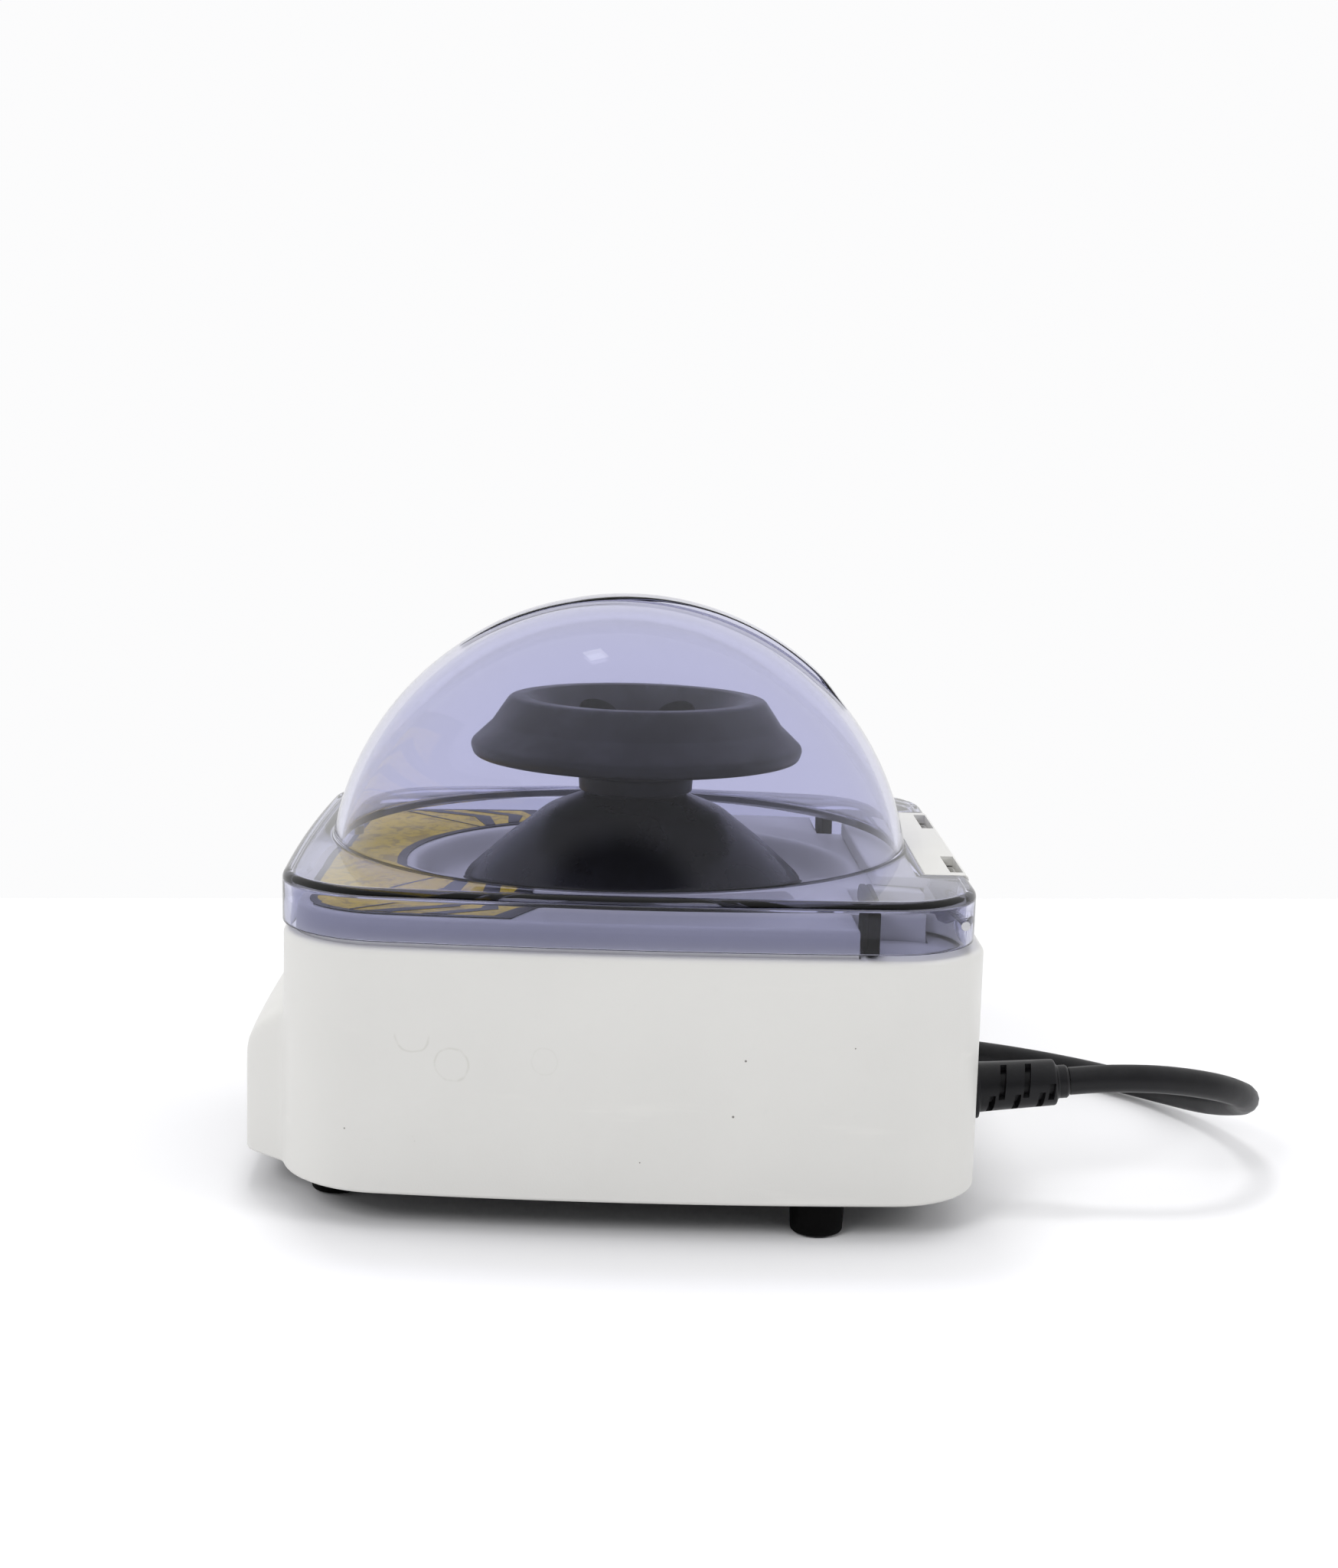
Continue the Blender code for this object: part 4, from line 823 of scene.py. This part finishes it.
for side in (1, -1):
    for k in range(2):
        tip = -math.pi / 2 + side * (half_span - math.radians(5.6 + 7.4 * k))
        back = math.radians(5.0) * side
        wide = math.radians(3.3) * side
        patch([on_label(tip, 0.5), on_label(tip - back, 0.0), on_label(tip - back - wide, 0.0), on_label(tip - wide, 0.5), on_label(tip - back - wide, 1.0), on_label(tip - back, 1.0)])
    bar = -math.pi / 2 + side * (half_span - math.radians(23.0))
    patch([on_label(bar, 0.0), on_label(bar, 1.0), on_label(bar - math.radians(0.6) * side, 1.0), on_label(bar - math.radians(0.6) * side, 0.0)])
bmesh.ops.recalc_face_normals(bm, faces=bm.faces)
marks = object_from("label_marks", bm, 30)
dress(marks, "ink", "base", ())

# ---------------------------------------------------------------- lid: dome, plate and skirt as one clear shell
LID_ANGLES = [2 * math.pi * i / 320 for i in range(320)]


def lid_ring(z, inset):
    return ring_of(lambda a: radius_at(a, DOME_Y, inset - LID_PROUD, 0.0, LID_REAR_Y - LID_PROUD), z, DOME_Y, LID_ANGLES)


def dome_rows(radius, z_end, count):
    """Rings from just off the pole down to height z_end."""
    polar = math.acos((z_end - DOME_Z) / radius)
    return [ring_of(radius * math.sin(polar * k / count), DOME_Z + radius * math.cos(polar * k / count), DOME_Y, LID_ANGLES) for k in range(1, count + 1)]


rows = dome_rows(DOME_R, LID_TOP + 1.3, 40)
foot = math.sqrt(DOME_R ** 2 - (LID_TOP - DOME_Z) ** 2)
rows += [ring_of(foot - 0.12, LID_TOP + 0.55, DOME_Y, LID_ANGLES), ring_of(foot + 0.12, LID_TOP + 0.2, DOME_Y, LID_ANGLES), ring_of(foot + 0.5, LID_TOP + 0.03, DOME_Y, LID_ANGLES)]
rows.append([(x0 + (x1 - x0) * 0.0 + 0.0, y0_, LID_TOP) for (x0, y0_, _), (x1, _, _) in zip(ring_of(foot + 0.9, LID_TOP, DOME_Y, LID_ANGLES), ring_of(foot + 0.9, LID_TOP, DOME_Y, LID_ANGLES))])
ROUND = 2.0
for k in range(0, 9):
    phi = math.pi / 2 * k / 8
    rows.append(lid_ring(LID_TOP - ROUND * (1 - math.cos(phi)), ROUND * (1 - math.sin(phi))))
rows += [lid_ring(72.0, 0.0), lid_ring(66.6, 0.0), lid_ring(66.15, 0.12), lid_ring(LID_BOTTOM, 0.4), lid_ring(LID_BOTTOM, LID_WALL - 0.4), lid_ring(66.15, LID_WALL - 0.12), lid_ring(66.6, LID_WALL), lid_ring(72.0, LID_WALL)]
for k in range(0, 5):
    phi = math.pi / 2 * k / 4
    rows.append(lid_ring(LID_TOP - LID_WALL - 1.0 * (1 - math.sin(phi)), LID_WALL + 1.0 * (1 - math.cos(phi))))
inner_r = DOME_R - LID_WALL
inner_rows = dome_rows(inner_r, LID_TOP - 1.0, 40)
inner_foot = math.sqrt(inner_r ** 2 - (LID_TOP - 1.0 - DOME_Z) ** 2)
rows += [ring_of(inner_foot + 0.9, LID_TOP - LID_WALL, DOME_Y, LID_ANGLES), ring_of(inner_foot + 0.3, LID_TOP - LID_WALL + 0.3, DOME_Y, LID_ANGLES)]
rows += list(reversed(inner_rows))
lid = lofted("lid_clear_shell", rows, (0, DOME_Y, DOME_Z + DOME_R), (0, DOME_Y, DOME_Z + inner_r), smooth=30)

holes = [cylinder_cutter((HINGE_Y, HINGE_Z), COVER_R + 0.35, -CUTOUT_HALF, CUTOUT_HALF, "X", 96)]
for side in (1, -1):
    lo, hi = sorted((side * 50.0, side * 76.0))
    holes.append(cylinder_cutter((HINGE_Y, HINGE_Z), PIN_HOLE_R, lo, hi, "X", 32))
cut(lid, holes, smooth=28)
dress(lid, "lid", "lid", ("lid_shell",))

# crown rib: a low clear strip moulded along the top of the dome, fading out at both ends
across = []
for k in range(31):
    t = math.sin(math.pi * (k / 30 - 0.5))
    across.append(0.5 * RIB_WIDTH * t)
rows = []
for i in range(113):
    phi = math.radians(-34.0 + 84.0 * i / 112)
    height = max(0.28, 3.85 * math.cos(phi - math.radians(24.6)) - 2.87)
    height *= ease(i / 14) * ease((112 - i) / 12)
    top, bottom = [], []
    for x in across:
        rho = math.sqrt(DOME_R ** 2 - x * x)
        edge = max(0.0, (abs(x) - 0.5 * RIB_WIDTH + 0.7) / 0.7)
        lift = 0.04 + height * math.sqrt(max(0.0, 1.0 - edge * edge))
        top.append((x, DOME_Y + (rho + lift) * math.sin(phi), DOME_Z + (rho + lift) * math.cos(phi)))
        bottom.append((x, DOME_Y + (rho + 0.015) * math.sin(phi), DOME_Z + (rho + 0.015) * math.cos(phi)))
    rows.append(top + bottom[::-1])
ends = [tuple(sum(p[k] for p in row) / len(row) for k in range(3)) for row in (rows[0], rows[-1])]
crown = lofted("crown_rib", rows, ends[0], ends[1], smooth=50)
dress(crown, "lid", "lid", ())

# ---------------------------------------------------------------- rotor, shroud and feet
profile = rounded_profile([(2.4, 99.4), (12.4, 99.4), (24.9, 110.6), (27.2, 112.5), (31.2, 112.5), (33.2, 109.6), (35.6, 106.0), (40.9, 101.0), (40.0, 98.1), (30.0, 96.3), (14.2, 93.6), (13.9, 89.5), (2.4, 89.5)],
                          [0, 1.0, 1.4, 1.6, 2.2, 1.6, 3.0, 2.0, 1.6, 1.0, 1.0, 0.4, 0], 6)
rotor = turned("rotor_body", profile, (0, AXIS_Y), 192, smooth=32)
holes = []
lean = math.atan2(24.6 - 12.4, 110.2 - 99.4)
for i in range(6):
    a = 2 * math.pi * (i + 0.5) / 6
    out = Vector((math.cos(a), math.sin(a), 0))
    along = out * math.cos(lean) + Vector((0, 0, -math.sin(lean)))
    mouth = out * 19.4 + Vector((0, AXIS_Y, 105.6))
    bm = bmesh.new()
    bmesh.ops.create_cone(bm, cap_ends=True, segments=48, radius1=5.4 * MM, radius2=5.4 * MM, depth=32 * MM,
                          matrix=Matrix.Translation((mouth + along * 4.0) * MM) @ along.to_track_quat("Z", "Y").to_matrix().to_4x4())
    holes.append(object_from("cutter", bm, 0))
cut(rotor, holes, smooth=32)
dress(rotor, "rotor", "rotor", ("rotor_disc",))

profile = rounded_profile([(4.6, 88.8), (12.4, 88.8), (21.8, 85.0), (31.4, 77.4), (37.2, 72.2), (41.2, 68.6), (42.3, 66.6), (42.3, 64.4), (40.5, 64.4), (40.5, 66.6), (38.9, 69.0), (35.1, 71.5), (30.0, 75.7), (20.8, 83.2), (13.6, 86.4), (12.0, 86.9), (4.6, 86.9)],
                          [0, 3, 12, 14, 12, 6, 6, 0, 0, 1, 3, 3, 3, 3, 1, 1, 0], 6)
shroud = turned("shroud_cone", profile, (0, AXIS_Y), 160, smooth=32)
dress(shroud, "shroud", "base", ("motor_shroud",))

profile = rounded_profile([(0.0, 107.2), (4.9, 107.2), (6.5, 105.4), (6.6, 100.8), (2.4, 100.8), (2.4, 105.0), (0.0, 105.0)], [0, 0.6, 0.6, 0.3, 0, 0, 0], 4)
nut = turned("rotor_cap_nut", profile, (0, AXIS_Y), 144, smooth=32, wave=lambda a, r, z: 1.0 - (0.045 * (0.5 + 0.5 * math.cos(18 * a)) if r > 5.6 else 0.0))
dress(nut, "rotor", "rotor", ("rotor_nut",))

FEET = {"rear_right": (65.0, 48.5), "rear_left": (-65.0, 48.5), "front_right": (42.2, -62.7), "front_left": (-42.2, -62.7)}
for corner, centre in FEET.items():
    profile = rounded_profile([(0.0, 3.4), (3.3, 3.4), (3.3, 0.0), (5.9, 0.0), (6.3, 8.3), (0.0, 8.3)], [0, 0.2, 0.35, 0.9, 0.0, 0], 5)
    foot_piece = turned("foot_" + corner, profile, centre, 72, smooth=32)
    dress(foot_piece, "rubber", "base", ("rubber_foot_" + corner,))

# ---------------------------------------------------------------- fittings with softened edges, from the frame's own shapes
def softened(name, key, body, width, segments=3, label=None):
    """The frame node's shape as a new mesh with its edges rounded."""
    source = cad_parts[name]
    bm = bmesh.new()
    bm.from_mesh(source.data)
    bm.transform(source.matrix_world)
    bmesh.ops.remove_doubles(bm, verts=bm.verts, dist=0.000002)
    bmesh.ops.dissolve_limit(bm, angle_limit=math.radians(1.0), verts=bm.verts, edges=bm.edges)
    sharp = [e for e in bm.edges if len(e.link_faces) == 2 and e.calc_face_angle(0.0) > math.radians(28)]
    bmesh.ops.bevel(bm, geom=sharp, offset=width * MM, segments=segments, profile=0.5, affect="EDGES", clamp_overlap=True)
    bmesh.ops.recalc_face_normals(bm, faces=bm.faces)
    piece = object_from(label or name + "_piece", bm, 40)
    return dress(piece, key, body, (name,))


softened("front_panel", "black", "base", 0.25)
softened("switch_body", "black", "base", 0.35)
softened("power_rocker", "gloss", "rocker", 0.55, 4)
softened("release_button", "ivory", "release", 0.55, 4)
softened("hinge_cover", "ivory", "base", 0.30)
softened("hinge_block", "ivory", "base", 0.25)
softened("latch_arm", "black", "release", 0.25, 2)
for name in ("lid_hinge_arm_right", "lid_hinge_arm_left", "lid_catch"):
    softened(name, "lid_part", "lid", 0.25, 2)
for name in ("plug_blade_right", "plug_blade_left", "plug_ground_pin"):
    softened(name, "steel", "base", 0.25, 3)

# plain bar and ring inked on the two halves of the rocker
bm = bmesh.new()
tilt = math.radians(9.0)


def on_rocker(x, b):
    a = -2.3 - 1.3 * abs(b) / 6.1 - 0.02
    return Vector((-16.0 + x, -80.3 + a * math.cos(tilt) - b * math.sin(tilt), 21.0 + a * math.sin(tilt) + b * math.cos(tilt)))


def inked(outline, inner=None):
    lift = Vector((0, -0.05, 0))
    front = [bm.verts.new((on_rocker(x, b) + lift) * MM) for x, b in outline]
    back = [bm.verts.new((on_rocker(x, b) - lift) * MM) for x, b in outline]
    n = len(outline)
    if inner is None:
        bm.faces.new(front)
        bm.faces.new(list(reversed(back)))
    else:
        front_in = [bm.verts.new((on_rocker(x, b) + lift) * MM) for x, b in inner]
        back_in = [bm.verts.new((on_rocker(x, b) - lift) * MM) for x, b in inner]
        for i in range(n):
            j = (i + 1) % n
            bm.faces.new((front[i], front[j], front_in[j], front_in[i]))
            bm.faces.new((back[j], back[i], back_in[i], back_in[j]))
            bm.faces.new((front_in[i], front_in[j], back_in[j], back_in[i]))
    for i in range(n):
        j = (i + 1) % n
        bm.faces.new((front[j], front[i], back[i], back[j]))


inked([(-0.30, 2.1), (0.30, 2.1), (0.30, 4.5), (-0.30, 4.5)])
inked([(1.35 * math.cos(t * math.pi / 12), -3.3 + 1.35 * math.sin(t * math.pi / 12)) for t in range(24)],
      [(0.90 * math.cos(t * math.pi / 12), -3.3 + 0.90 * math.sin(t * math.pi / 12)) for t in range(24)])
bmesh.ops.recalc_face_normals(bm, faces=bm.faces)
dress(object_from("rocker_marks", bm, 30), "mark", "rocker", ())

# ---------------------------------------------------------------- floor, backdrop and light
floor_mat = Nodes("floor_white")
floor_mat.set(color=floor_mat.mix(floor_mat.between(floor_mat.noise(1.5, 2.0), 0.3, 0.7), (0.90, 0.90, 0.915), (0.89, 0.89, 0.905)), rough=0.55, specular=0.25)
bm = bmesh.new()
corners = [bm.verts.new(p) for p in ((3.0, -3.0, 0.0), (3.0, 3.0, 0.0), (-0.290 - 0.11 * 3.0, 3.0, 0.0), (-0.290 + 0.11 * 3.0, -3.0, 0.0))]
bm.faces.new(corners)
bmesh.ops.subdivide_edges(bm, edges=list(bm.edges), cuts=7, use_grid_fill=True)
floor = object_from("studio_floor", bm, 0)
floor.data.materials.append(floor_mat.mat)
floor.location = (0, 0, -0.0004)

world = bpy.data.worlds.new("studio")
scene.world = world
world.use_nodes = True
tree = world.node_tree
away = tree.nodes.new("ShaderNodeTexCoord")
parts = tree.nodes.new("ShaderNodeSeparateXYZ")
ramp = tree.nodes.new("ShaderNodeMapRange")
ramp.interpolation_type = "SMOOTHSTEP"
blend = tree.nodes.new("ShaderNodeMix")
blend.data_type = "RGBA"
tree.links.new(away.outputs["Generated"], parts.inputs[0])
tree.links.new(parts.outputs[0], ramp.inputs[0])
for i, v in enumerate((-0.15, 0.85, 0.0, 1.0)):
    ramp.inputs[i + 1].default_value = v
tree.links.new(ramp.outputs[0], blend.inputs["Factor"])
blend.inputs[6].default_value = (0.972, 0.972, 0.976, 1.0)
blend.inputs[7].default_value = (0.56, 0.56, 0.57, 1.0)
dark = tree.nodes.new("ShaderNodeMapRange")
dark.interpolation_type = "SMOOTHSTEP"
tree.links.new(parts.outputs[0], dark.inputs[0])
for i, v in enumerate((0.80, 0.93, 0.0, 1.0)):
    dark.inputs[i + 1].default_value = v
room = tree.nodes.new("ShaderNodeMix")
room.data_type = "RGBA"
tree.links.new(dark.outputs[0], room.inputs["Factor"])
tree.links.new(blend.outputs[2], room.inputs[6])
room.inputs[7].default_value = (0.10, 0.10, 0.105, 1.0)
tree.links.new(room.outputs[2], tree.nodes["Background"].inputs["Color"])
tree.nodes["Background"].inputs["Strength"].default_value = 1.0


def area(name, spot, size, power, target=(0.0, 0.0, 0.06), color=(1, 1, 1)):
    data = bpy.data.lights.new(name, "AREA")
    data.shape, data.size, data.size_y, data.energy, data.color = "RECTANGLE", size[0], size[1], power, color
    lamp = bpy.data.objects.new(name, data)
    scene.collection.objects.link(lamp)
    lamp.location = spot
    lamp.rotation_euler = (Vector(target) - Vector(spot)).to_track_quat("-Z", "Y").to_euler()
    return lamp


for lamp in (area("softbox_top", (-0.40, -0.11, 1.30), (0.34, 0.26), 4.0), area("softbox_key", (1.10, -0.75, 1.00), (0.55, 0.55), 8.0),
             area("softbox_rear", (0.55, 1.15, 0.70), (0.50, 0.50), 4.0)):
    lamp.visible_glossy = lamp.visible_transmission = False
# a small dim lamp for the faint patch on the crown
gleam = area("softbox_gleam", (-0.46, -0.16, 1.30), (0.11, 0.14), 0.10)
gleam.visible_diffuse = False

scene.view_settings.view_transform = "Standard"
scene.view_settings.look = "None"
scene.view_settings.exposure = 0.0
scene.view_settings.gamma = 1.0
